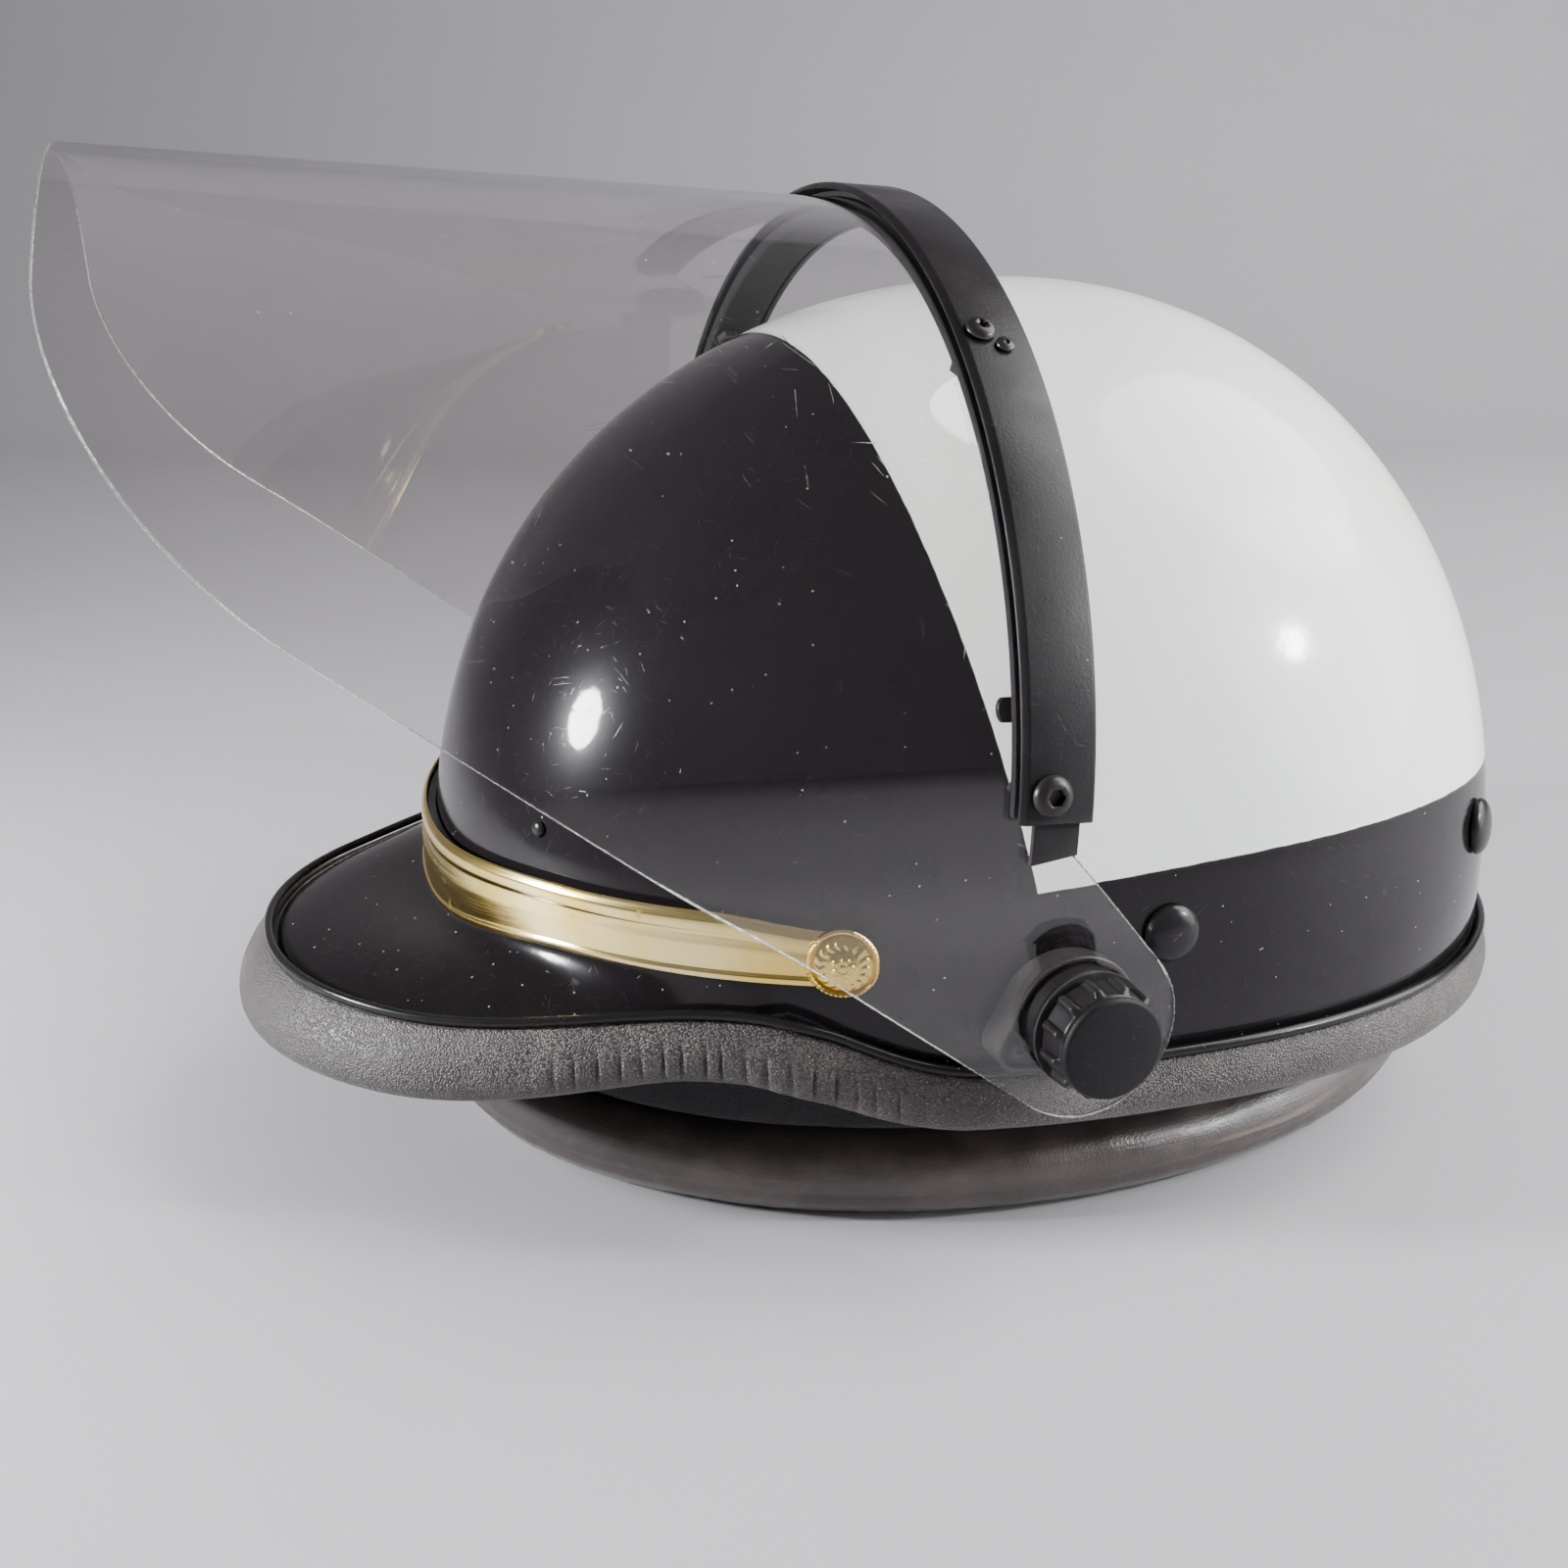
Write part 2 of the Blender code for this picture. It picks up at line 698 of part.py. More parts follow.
def make_straps(anchor, paints):
    for side, word in ((1, "left"), (-1, "right")):
        angle, top = STRAP_RIVET_FRONT
        corners = strap_drop(side, angle, top)
        y = corners[0].y
        for x, height in ((0.0805, 0.0100), (0.0770, 0.0026), (0.0700, 0.0012), (0.0610, 0.0012), (0.0525, 0.0012)):
            corners.append(Vector((side * x, y, height)))
        path = smooth_path(corners, 2)
        across = [plan_normal(side * angle).cross(Vector((0.0, 0.0, 1.0)))] * len(path)
        hole = cutter(f"strap_hole_{word}", [rivet_bar(side, STRAP_RIVET_FRONT)], anchor)
        drill(ribbon(f"chin_strap_{word}", path, across, paints["webbing"], anchor), hole)

        angle, top = STRAP_RIVET_REAR
        corners = strap_drop(side, angle, top)
        inward = -plan_normal(side * angle)
        corners.append(shell_point(side * angle, 0.0180, -0.0380))
        corners.append(shell_point(side * angle, 0.0080, -0.0400))
        corners.append(shell_point(side * angle, 0.0020, -0.0450))
        corners.append(shell_point(side * angle, 0.0013, -0.0530))
        corners += [
            Vector((side * 0.0565, 0.0370, 0.0013)),
            Vector((side * 0.0605, 0.0240, 0.0013)),
            Vector((side * 0.0626, 0.0090, 0.0031)),
            Vector((side * 0.0632, -0.0160, 0.0040)),
        ]
        path = smooth_path(corners, 2)
        widths = []
        start = inward.cross(Vector((0.0, 0.0, 1.0)))
        finish = Vector((1.0, 0.0, 0.0)) * math.copysign(1.0, start.x)
        for index in range(len(path)):
            share = ramp(index / (len(path) - 1), 0.70, 0.90)
            widths.append(start * (1.0 - share) + finish * share)
        hole = cutter(f"nape_hole_{word}", [rivet_bar(side, STRAP_RIVET_REAR)], anchor)
        drill(ribbon(f"nape_strap_{word}", path, widths, paints["webbing"], anchor), hole)
    make_buckle(anchor, paints, shell_point(STRAP_RIVET_FRONT[0], 0.0, 0.0).y)


def make_buckle(anchor, paints, y):
    """Two halves of the chin buckle, unclipped, each in front of its strap's end."""
    socket = [(0.0525, 0.0125), (0.0370, 0.0125), (0.0300, 0.0105)]
    plug = [(0.0525, 0.0125), (0.0420, 0.0125), (0.0380, 0.0090), (0.0280, 0.0065)]
    for name, outline, side in (("buckle_socket", socket, 1), ("buckle_plug", plug, -1)):
        rings = []
        for x, half in outline:
            ring = []
            for across, height in ((-half, 0.0004), (half, 0.0004), (half, 0.0062), (-half, 0.0062)):
                ring.append(Vector((side * (x - 0.0003), y + across, height)))
            rings.append(ring)
        made = loft(name, rings, paints["black_plastic"])
        settle(made, anchor)


# ---------------------------------------------------------------- shield geometry

def arch_half_width(height):
    """Half the sheet's outer width at a height over the arch's centre; below it the sheet turns in to the ears."""
    if height >= 0.0:
        return ARCH_HALF_WIDTH * math.sqrt(max(0.0, 1.0 - (height / ARCH_RISE) ** 2))
    return ARCH_HALF_WIDTH - EAR_SETBACK * ramp(-height, 0.0, EAR_BEND)


def arch_table():
    """(arc length from the top, x, height) down one side of the sheet's outer face."""
    lowest = PIVOT_Z - EAR_RADIUS - ARCH_CENTRE - 0.0080
    rows = [(0.0, 0.0, ARCH_RISE)]
    for step in range(1, ARCH_SAMPLES + 1):
        share = step / ARCH_SAMPLES
        height = ARCH_RISE + (lowest - ARCH_RISE) * share * share
        x = arch_half_width(height)
        length, x_before, height_before = rows[-1]
        rows.append((length + math.hypot(x - x_before, height - height_before), x, height))
    return rows


ARCH = arch_table()


def arch_at(length):
    """(x, height) on the arch at an arc length, interpolated in the table."""
    low = 0
    high = len(ARCH) - 1
    while high - low > 1:
        middle = (low + high) // 2
        if ARCH[middle][0] <= length:
            low = middle
        else:
            high = middle
    first, second = ARCH[low], ARCH[high]
    share = (length - first[0]) / (second[0] - first[0])
    return first[1] + (second[1] - first[1]) * share, first[2] + (second[2] - first[2]) * share


def arch_point(length, forward, offset):
    """A point off the sheet's outer face: arc length from the top (+ to the left), distance forward, offset out."""
    reach = abs(length)
    x, height = arch_at(reach)
    x_near, height_near = arch_at(max(0.0, reach - 0.0005))
    x_far, height_far = arch_at(reach + 0.0005)
    along = Vector((x_far - x_near, height_far - height_near)).normalized()
    x -= along.y * offset
    height += along.x * offset
    y = ARCH_REAR - forward * math.cos(ARCH_PITCH) + height * math.sin(ARCH_PITCH)
    z = ARCH_CENTRE + forward * math.sin(ARCH_PITCH) + height * math.cos(ARCH_PITCH)
    return Vector((math.copysign(x, length) if reach > 0 else x, y, z))


def arch_normal(length, forward):
    return (arch_point(length, forward, 0.001) - arch_point(length, forward, 0.0)).normalized()


def pivot_place():
    """The pivot's arc length and forward distance on the sheet."""
    y = PIVOT_Y - ARCH_REAR
    z = PIVOT_Z - ARCH_CENTRE
    forward = -y * math.cos(ARCH_PITCH) + z * math.sin(ARCH_PITCH)
    height = z * math.cos(ARCH_PITCH) + y * math.sin(ARCH_PITCH)
    length = next(row[0] for row in ARCH if row[2] <= height)
    return length, forward


PIVOT_LENGTH, PIVOT_FORWARD = pivot_place()


def sheet_front(length):
    """The sheet's front edge: level tip, round corner, straight chin edge and the ear's arc."""
    reach = abs(length)
    lean = CHIN_SLOPE
    slope = math.tan(lean)
    edge_x = PIVOT_LENGTH + EAR_RADIUS * math.sin(lean)
    edge_y = PIVOT_FORWARD + EAR_RADIUS * math.cos(lean)
    if reach >= edge_x:
        return PIVOT_FORWARD + math.sqrt(max(0.0, EAR_RADIUS ** 2 - (reach - PIVOT_LENGTH) ** 2))
    corner = edge_x - (SHIELD_LENGTH - edge_y) / slope
    run = CHIN_CORNER_RADIUS * math.tan(lean / 2)
    arc_start = corner - run
    if reach <= arc_start:
        return SHIELD_LENGTH
    if reach < corner + run * math.cos(lean):
        rise = math.sqrt(CHIN_CORNER_RADIUS ** 2 - (reach - arc_start) ** 2)
        return SHIELD_LENGTH - CHIN_CORNER_RADIUS + rise
    return edge_y + (edge_x - reach) * slope


def sheet_rear(length):
    """The sheet's rear edge: inside the strip, then straight to the ear's arc."""
    reach = abs(length)
    lean = REAR_SLOPE
    edge_x = PIVOT_LENGTH - EAR_RADIUS * math.sin(lean)
    edge_y = PIVOT_FORWARD - EAR_RADIUS * math.cos(lean)
    if reach >= edge_x:
        return PIVOT_FORWARD - math.sqrt(max(0.0, EAR_RADIUS ** 2 - (reach - PIVOT_LENGTH) ** 2))
    return min(SHEET_START, edge_y + (edge_x - reach) * math.tan(lean))


def arch_run(half, steps):
    return [half * (step / steps * 2 - 1) for step in range(steps + 1)]


def sheet_stations():
    """Arc lengths across the sheet: even over the arch, close together round the ears."""
    half = [0.0100 * step for step in range(20)]
    turn_in = PIVOT_LENGTH - EAR_RADIUS
    half += [0.1980 + (turn_in - 0.1980) * step / 4 for step in range(5)]
    for step in range(1, 9):
        half.append(PIVOT_LENGTH - EAR_RADIUS * math.cos(math.pi * step / 8.12))
    return [-length for length in reversed(half[1:])] + half


def make_sheet(anchor, paints, holes):
    rings = []
    for length in sheet_stations():
        rear = sheet_rear(length)
        front = sheet_front(length)
        rings.append([
            arch_point(length, rear, 0.0),
            arch_point(length, front, 0.0),
            arch_point(length, front, -SHEET_WALL),
            arch_point(length, rear, -SHEET_WALL),
        ])
    sheet = loft("face_shield", rings, paints["clear"], smooth=40.0)
    settle(sheet, anchor)
    for bars in holes:
        drill(sheet, bars)


def make_strip_layers(anchor, paints, holes):
    inside = -SHEET_WALL - GAP
    strip_profile = [
        (0.0, STRIP_OUTER),
        (STRIP_WIDTH - 0.0012, STRIP_OUTER),
        (STRIP_WIDTH, STRIP_OUTER - 0.0010),
        (STRIP_WIDTH, STRIP_INNER),
        (0.0014, STRIP_INNER),
        (0.0014, inside - SEAL_WALL),
        (0.0, inside - SEAL_WALL),
    ]
    gasket_profile = [
        (SHEET_START, GASKET_OUTER),
        (GASKET_FRONT, GASKET_OUTER),
        (GASKET_FRONT, GAP),
        (SHEET_START, GAP),
    ]
    seal_profile = [
        (SHEET_START, inside),
        (STRIP_WIDTH - 0.0005, inside),
        (STRIP_WIDTH - 0.0012, inside - SEAL_WALL),
        (SHEET_START, inside - SEAL_WALL),
    ]
    strip = [[arch_point(length, *corner) for corner in strip_profile] for length in arch_run(STRIP_REACH, 36)]
    seal = [[arch_point(length, *corner) for corner in seal_profile] for length in arch_run(STRIP_REACH - 0.0005, 36)]
    gasket = []
    for share in arch_run(1.0, 36):
        ring = []
        for forward, offset in gasket_profile:
            slant = 0.0026 * (forward - SHEET_START) / STRIP_WIDTH
            ring.append(arch_point(share * (GASKET_REACH + slant), forward, offset))
        gasket.append(ring)
    layers = (
        ("brow_strip", strip, "black_plastic"),
        ("brow_gasket", gasket, "rubber"),
        ("brow_seal", seal, "rubber"),
    )
    for name, rings, paint in layers:
        made = loft(name, rings, paints[paint], smooth=40.0)
        settle(made, anchor)
        drill(made, holes)


def strip_places():
    return (("bolt", BOLT_PLACE, 0.0021), ("screw", SCREW_PLACE, 0.0017), ("rivet", RIVET_PLACE, 0.0012))


def strip_holes(anchor):
    bars = []
    for _, (length, forward), radius in strip_places():
        for side in (1, -1):
            centre = arch_point(side * length, forward, 0.0)
            bars.append((centre, arch_normal(side * length, forward), radius, 0.0300))
    return cutter("strip_hole_bars", bars, anchor)


def make_strip_fasteners(anchor, paints):
    top = STRIP_OUTER + GAP
    under = -SHEET_WALL - 2 * GAP - SEAL_WALL
    bolt = [
        (0.0017, under - 0.0030),
        (0.0017, top),
        (0.0040, top),
        (0.0037, top + 0.0011),
        (0.0026, top + 0.0021),
    ]
    screw = [
        (0.0013, under - 0.0026),
        (0.0013, top),
        (0.0032, top),
        (0.0029, top + 0.0008),
        (0.0016, top + 0.0014),
    ]
    rivet = [
        (0.0014, under - 0.0006),
        (0.0008, under),
        (0.0008, top),
        (0.0019, top),
        (0.0016, top + 0.0006),
        (0.0006, top + 0.0009),
    ]
    nuts = (("strip_nut", BOLT_PLACE, 0.0040, 0.0021), ("screw_nut", SCREW_PLACE, 0.0032, 0.0017))
    for side, word in ((1, "left"), (-1, "right")):
        for (stem, (length, forward), _), profile in zip(strip_places(), (bolt, screw, rivet)):
            made = turned(f"strip_{stem}_{word}", profile, 12, paints["black_steel"])
            place(made, anchor, arch_point(side * length, forward, 0.0), arch_normal(side * length, forward))
        for stem, (length, forward), radius, bore in nuts:
            centre = arch_point(side * length, forward, 0.0)
            normal = arch_normal(side * length, forward)
            rings = []
            for reach, height in ((radius, under - 0.0024), (radius, under), (bore, under), (bore, under - 0.0024)):
                rings.append([
                    (reach * math.cos(math.tau * step / 12), reach * math.sin(math.tau * step / 12), height)
                    for step in range(12)
                ])
            nut = loft(f"{stem}_{word}", [list(ring) for ring in rings], paints["black_steel"], True)
            place(nut, anchor, centre, normal)
        make_tab(side, word, anchor, paints, under)


def make_tab(side, word, anchor, paints, under):
    """A small moulded tab that keeps the inner seal in place, at the strip's front edge."""
    length, forward = TAB_PLACE
    rings = []
    for across in (-0.0025, 0.0025):
        rings.append([
            arch_point(side * (length + across), forward, under),
            arch_point(side * (length + across), forward + 0.0062, under),
            arch_point(side * (length + across), forward + 0.0062, under - 0.0014),
            arch_point(side * (length + across), forward, under - 0.0014),
        ])
    made = loft(f"seal_tab_{word}", rings, paints["black_plastic"])
    settle(made, anchor)


# ---------------------------------------------------------------- pivots

def ear_face():
    """X of the sheet's outer face at the pivot."""
    return ARCH_HALF_WIDTH - EAR_SETBACK


def base_outline(steps, grown):
    """(y, z) points round the pivot, flat below; when grown, one tangent outline takes in the lug too."""
    lug = Vector((LUG_Y - PIVOT_Y, LUG_Z - PIVOT_Z))
    reach = BASE_RADIUS if grown else BASE_COLUMN_RADIUS
    points = []
    for step in range(steps):
        turn = math.tau * step / steps
        normal = Vector((math.cos(turn), math.sin(turn)))
        point = normal * reach
        if grown and lug.dot(normal) + LUG_RADIUS > reach:
            point = lug + normal * LUG_RADIUS
        points.append((PIVOT_Y + point.x, max(BASE_BOTTOM, PIVOT_Z + point.y)))
    return points


def base_floor(y):
    """X of the base's inner face, a plane along the shell's side."""
    lean = (plan_side(PIVOT_Y + BASE_RADIUS) - plan_side(PIVOT_Y - BASE_RADIUS)) / (2 * BASE_RADIUS)
    return plan_side(PIVOT_Y + BASE_RADIUS) + 0.0007 + lean * (y - PIVOT_Y - BASE_RADIUS)


def plan_side(y):
    """The shell wall's half width at a y."""
    share = 1.0 - (abs(y) / SHELL_FRONT) ** PLAN_POWER
    return SHELL_HALF_WIDTH * share ** (1 / PLAN_POWER)


def make_pivots(helmet, shield, paints, bars):
    ear = ear_face()
    knob_base = ear + 0.0014
    for side, word in ((1, "left"), (-1, "right")):
        wide = base_outline(28, True)
        narrow = base_outline(28, False)
        rings = [
            [Vector((side * base_floor(y), y, z)) for y, z in wide],
            [Vector((side * BASE_STEP, y, z)) for y, z in wide],
            [Vector((side * (BASE_STEP + 0.0002), y, z)) for y, z in narrow],
            [Vector((side * (ear - SHEET_WALL - GAP), y, z)) for y, z in narrow],
        ]
        base = loft(f"pivot_base_{word}", rings, paints["black_plastic"])
        settle(base, helmet)
        drill(base, bars)

        outward = Vector((side, 0.0, 0.0))
        centre = Vector((0.0, PIVOT_Y, PIVOT_Z))
        wall = plan_side(PIVOT_Y) - SHELL_WALL - 0.0013
        bolt = [
            (0.0050, wall - 0.0018),
            (0.0050, wall),
            (BOLT_RADIUS, wall),
            (BOLT_RADIUS, knob_base + 0.0050),
        ]
        made = turned(f"pivot_bolt_{word}", bolt, 14, paints["steel"])
        place(made, helmet, centre, outward)

        screw = [
            (0.0010, plan_side(LUG_Y) + 0.0012),
            (0.0010, BASE_STEP + GAP),
            (LUG_SCREW_RADIUS, BASE_STEP + GAP),
            (LUG_SCREW_RADIUS - 0.0003, BASE_STEP + 0.0012),
            (LUG_SCREW_RADIUS - 0.0010, BASE_STEP + 0.0018),
        ]
        made = turned(f"base_screw_{word}", screw, 12, paints["black_steel"])
        place(made, helmet, Vector((0.0, LUG_Y, LUG_Z)), outward)

        washer = []
        bore = BOLT_RADIUS + 0.0004
        for reach, height in ((WASHER_RADIUS, GAP), (WASHER_RADIUS, 0.0011), (bore, 0.0011), (bore, GAP)):
            turns = [math.tau * step / 24 for step in range(24)]
            washer.append([(reach * math.cos(turn), reach * math.sin(turn), ear + height) for turn in turns])
        made = loft(f"ear_washer_{word}", washer, paints["rubber"], True)
        place(made, shield, centre, outward)
        make_knob(word, outward, knob_base, helmet, paints)


def make_knob(word, outward, base, helmet, paints):
    """A clamping nut with axial ribs on the pivot bolt, and a smooth cap pressed into its face."""
    segments = KNOB_RIBS * 6
    height = KNOB_HEIGHT
    bore = BOLT_RADIUS + 0.0004
    profile = [
        (bore, 0.0, 0.0),
        (KNOB_RADIUS, 0.0, 0.0),
        (KNOB_RADIUS, 0.0008, 1.0),
        (KNOB_RADIUS - 0.0003, height - 0.0010, 1.0),
        (KNOB_RADIUS - 0.0004, height, 0.0),
        (bore, height, 0.0),
    ]
    rings = []
    for radius, rise, rib in profile:
        ring = []
        for step in range(segments):
            turn = math.tau * step / segments
            reach = radius + (KNOB_RIB * rib if step % 6 in (2, 3) else 0.0)
            ring.append((reach * math.cos(turn), reach * math.sin(turn), rise))
        rings.append(ring)
    knob = loft(f"pivot_knob_{word}", rings, paints["black_plastic"], True, 25.0)
    centre = Vector((0.0, PIVOT_Y, PIVOT_Z)) + outward * base
    place(knob, helmet, centre, outward)

    face = [
        (KNOB_CAP_RADIUS, height + GAP),
        (KNOB_CAP_RADIUS, height + 0.0013),
        (KNOB_CAP_RADIUS * 0.93, height + 0.0019),
        (KNOB_CAP_RADIUS * 0.50, height + 0.0024),
    ]
    cap = turned(f"knob_cap_{word}", face, 28, paints["cap"])
    place(cap, helmet, centre, outward)


def rivet_bar(side, spot):
    angle, height = spot
    return shell_point(side * angle, height, 0.0), shell_normal(side * angle, height), 0.0025, 0.0200


def helmet_holes(anchor):
    """Bars through the shell for the strap rivets, the peak rivets, the pivot bolts and the lug screws."""
    bars = []
    outward = Vector((1.0, 0.0, 0.0))
    for side in (1, -1):
        bars.append(rivet_bar(side, STRAP_RIVET_FRONT))
        bars.append(rivet_bar(side, STRAP_RIVET_REAR))
        angle, height = PEAK_RIVET
        bars.append((shell_point(side * angle, height, 0.0), shell_normal(side * angle, height), 0.0015, 0.0200))
        middle = Vector((side * SHELL_HALF_WIDTH, PIVOT_Y, PIVOT_Z))
        bars.append((middle, outward, BOLT_RADIUS + 0.0004, 0.0260))
    return cutter("shell_hole_bars", bars, anchor)


def base_holes(anchor):
    outward = Vector((1.0, 0.0, 0.0))
    bars = []
    for side in (1, -1):
        middle = Vector((side * (SHELL_HALF_WIDTH + 0.0030), PIVOT_Y, PIVOT_Z))
        bars.append((middle, outward, BOLT_RADIUS + 0.0004, 0.0260))
        bars.append((Vector((side * SHELL_HALF_WIDTH, LUG_Y, LUG_Z)), outward, 0.0016, 0.0180))
    return cutter("base_hole_bars", bars, anchor)


def ear_holes(anchor):
    outward = Vector((1.0, 0.0, 0.0))
    bars = []
    for side in (1, -1):
        middle = Vector((side * ear_face(), PIVOT_Y, PIVOT_Z))
        bars.append((middle, outward, BOLT_RADIUS + 0.0004, 0.0100))
    return cutter("ear_hole_bars", bars, anchor)


# ---------------------------------------------------------------- assembly

def build():
    clear_scene()
    paints = {
        "white": material("white_gloss_paint", (0.80, 0.83, 0.80), 0.12),
        "black_gloss": material("black_gloss_paint", (0.012, 0.010, 0.012), 0.10),
        "trim": material("grained_vinyl", (0.030, 0.026, 0.030), 0.62),
        "piping": material("smooth_black_vinyl", (0.010, 0.010, 0.011), 0.22),
        "gold": material("gold_plate", (0.83, 0.62, 0.22), 0.22, 1.0),
        "rivet": material("black_lacquered_brass", (0.015, 0.014, 0.016), 0.20, 0.2),
        "foam": material("black_bead_foam", (0.030, 0.030, 0.032), 0.90),
        "padding": material("charcoal_cloth", (0.028, 0.027, 0.030), 0.95),
        "leather": material("black_leather", (0.020, 0.017, 0.016), 0.50),
        "vinyl": material("brown_black_vinyl", (0.045, 0.034, 0.032), 0.38),
        "webbing": material("black_webbing", (0.020, 0.020, 0.022), 0.85),
        "clear": material("clear_polycarbonate", (0.90, 0.88, 0.86), 0.03, 0.0, 0.25),
        "black_plastic": material("black_plastic", (0.014, 0.012, 0.014), 0.42),
        "rubber": material("black_rubber", (0.018, 0.017, 0.018), 0.75),
        "black_steel": material("blackened_steel", (0.030, 0.028, 0.030), 0.35, 0.7),
        "steel": material("zinc_steel", (0.55, 0.55, 0.56), 0.35, 1.0),
        "cap": material("matte_black_cap", (0.009, 0.008, 0.009), 0.55),
    }
    front = min(arch_point(length, sheet_front(length), 0.0).y for length in sheet_stations())
    rear = SHELL_REAR + 0.0039
    root = empty("helmet_frame", (0.0, -(front + rear) / 2, 0.0))
    pivot = Vector((0.0, PIVOT_Y, PIVOT_Z))
    helmet = (root, Vector((0.0, 0.0, 0.0)))
    shield = (empty("shield_pivot", pivot, root), pivot)

    columns = rim_angles()
    make_shell(columns, paints["white"], helmet_holes(helmet), helmet)
    make_rim(columns, helmet, paints)
    make_cap_band(helmet, paints)
    make_rivets(helmet, paints)
    make_liner(columns[::2], helmet, paints)
    make_neck_roll(helmet, paints)
    make_straps(helmet, paints)
    bars = strip_holes(shield)
    make_sheet(shield, paints, (bars, ear_holes(shield)))
    make_strip_layers(shield, paints, bars)
    make_strip_fasteners(shield, paints)
    make_pivots(helmet, shield, paints, base_holes(helmet))


build()
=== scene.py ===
"""Looks of the two-tone peaked duty helmet with its flip-up shield.

Every visible piece is rebuilt here at a fine resolution on the same construction as the CAD solids.
It is drawn in the helmet's plan frame (metres, +Z up, the wearer faces -Y, Y = 0 at the shell's widest
section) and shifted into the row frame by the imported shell's own box. Each piece rides on its CAD body
and stands for its CAD node.
"""

import math

import bmesh
import bpy
from mathutils import Matrix, Vector, noise


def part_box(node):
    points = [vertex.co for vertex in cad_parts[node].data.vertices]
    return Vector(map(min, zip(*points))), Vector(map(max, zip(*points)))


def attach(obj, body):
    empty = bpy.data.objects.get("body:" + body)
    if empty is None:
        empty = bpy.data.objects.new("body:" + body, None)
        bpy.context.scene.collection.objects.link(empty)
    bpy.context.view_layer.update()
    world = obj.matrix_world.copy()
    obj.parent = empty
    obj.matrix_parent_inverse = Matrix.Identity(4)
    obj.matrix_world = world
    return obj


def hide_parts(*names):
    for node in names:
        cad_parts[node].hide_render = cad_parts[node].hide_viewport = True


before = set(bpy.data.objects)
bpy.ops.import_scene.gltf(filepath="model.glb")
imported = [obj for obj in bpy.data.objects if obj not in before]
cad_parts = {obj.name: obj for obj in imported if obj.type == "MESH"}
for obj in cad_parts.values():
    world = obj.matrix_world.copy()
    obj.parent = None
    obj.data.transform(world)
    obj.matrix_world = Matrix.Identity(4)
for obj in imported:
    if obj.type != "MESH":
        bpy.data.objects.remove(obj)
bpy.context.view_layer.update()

# Shell
SHELL_HALF_WIDTH = 0.1147
SHELL_FRONT = 0.1460
SHELL_REAR = 0.1279
PLAN_POWER = 2.24
WALL_TOP = 0.0578
CROWN = 0.2001
DOME_POWER = 2.08
SHELL_WALL = 0.0030
GAP = 0.0003

# Rim, peak and trim
RIM_FRONT = 0.0480
TEMPLE_HUMP = 0.0065
TEMPLE_DROP = 0.0122
BROW_EDGE = 0.0560
PEAK_WALL = 0.0018
PEAK_REACH = 0.0392
PEAK_SPAN = 52.0
PEAK_END = 55.0
LIP_TILT = math.radians(25.0)
TRIM_DEPTH_SIDE = 0.0125
TRIM_DEPTH_FRONT = 0.0170
TEMPLE_SAG = 0.0027
PUCKER_PITCH = 1.95
PUCKER_DEPTH = 0.00095
PIPING_RADIUS = 0.0011

# Cap band
BAND_END = 61.4
BAND_LOW_FRONT = 0.0570
BAND_LOW_SIDE = 0.0635
BAND_HIGH_FRONT = 0.0745
BAND_HIGH_SIDE = 0.0775
BAND_WALL = 0.0013
BUTTON_RADIUS = 0.0076
BUTTON_HEIGHT = 0.0697

# Lining
LINER_BOTTOM = 0.0590
LINER_SIDE = 0.0200
LINER_CROWN = 0.0260
LINER_RELIEF = 0.0080
SWEATBAND_TOP = 0.0880
SWEATBAND_WALL = 0.0040
LINING_TOP = 0.0540
LINING_WALL = 0.0080
ROLL_HALF_WIDTH = 0.0941
ROLL_HALF_LENGTH = 0.1253
ROLL_SHIFT = -0.0120
ROLL_RADIUS = 0.0099

# Shield
ARCH_HALF_WIDTH = 0.1302
ARCH_RISE = 0.1207
ARCH_CENTRE = 0.0970
ARCH_REAR = -0.0410
ARCH_PITCH = math.radians(3.2)
SHEET_WALL = 0.0018
SHEET_BEVEL = 0.00035
EAR_SETBACK = 0.0057
EAR_BEND = 0.0262
EAR_RADIUS = 0.0198
SHIELD_LENGTH = 0.1798
CHIN_CORNER_RADIUS = 0.0900
CHIN_SLOPE = math.atan(1.442)
REAR_SLOPE = math.atan(0.95)
PIVOT_Y = -0.0342
PIVOT_Z = 0.0570
STRIP_WIDTH = 0.0150
STRIP_REACH = 0.1904
STRIP_OUTER = 0.0033
STRIP_INNER = 0.0018
GASKET_OUTER = 0.0015
GASKET_REACH = 0.1969
GASKET_FRONT = 0.0114
SEAL_WALL = 0.0030
SHEET_START = 0.0018
BOLT_PLACE = (0.1850, 0.0092)
SCREW_PLACE = (0.0925, 0.0100)
RIVET_PLACE = (0.0965, 0.0060)
TAB_PLACE = (0.1694, 0.0100)

# Pivots
BASE_RADIUS = 0.0135
BASE_COLUMN_RADIUS = 0.0117
BASE_STEP = 0.1172
BASE_BOTTOM = 0.0455
LUG_Y = -0.0470
LUG_Z = 0.0514
LUG_RADIUS = 0.0045
BOLT_RADIUS = 0.0030
KNOB_BORE = BOLT_RADIUS + 0.0004
WASHER_RADIUS = 0.0126
KNOB_RADIUS = 0.0111
KNOB_RIBS = 12
KNOB_RIB = 0.0013
KNOB_RIB_HALF_WIDTH = 0.00105
KNOB_HEIGHT = 0.0074
KNOB_CAP_RADIUS = 0.0108
EAR_FACE = ARCH_HALF_WIDTH - EAR_SETBACK

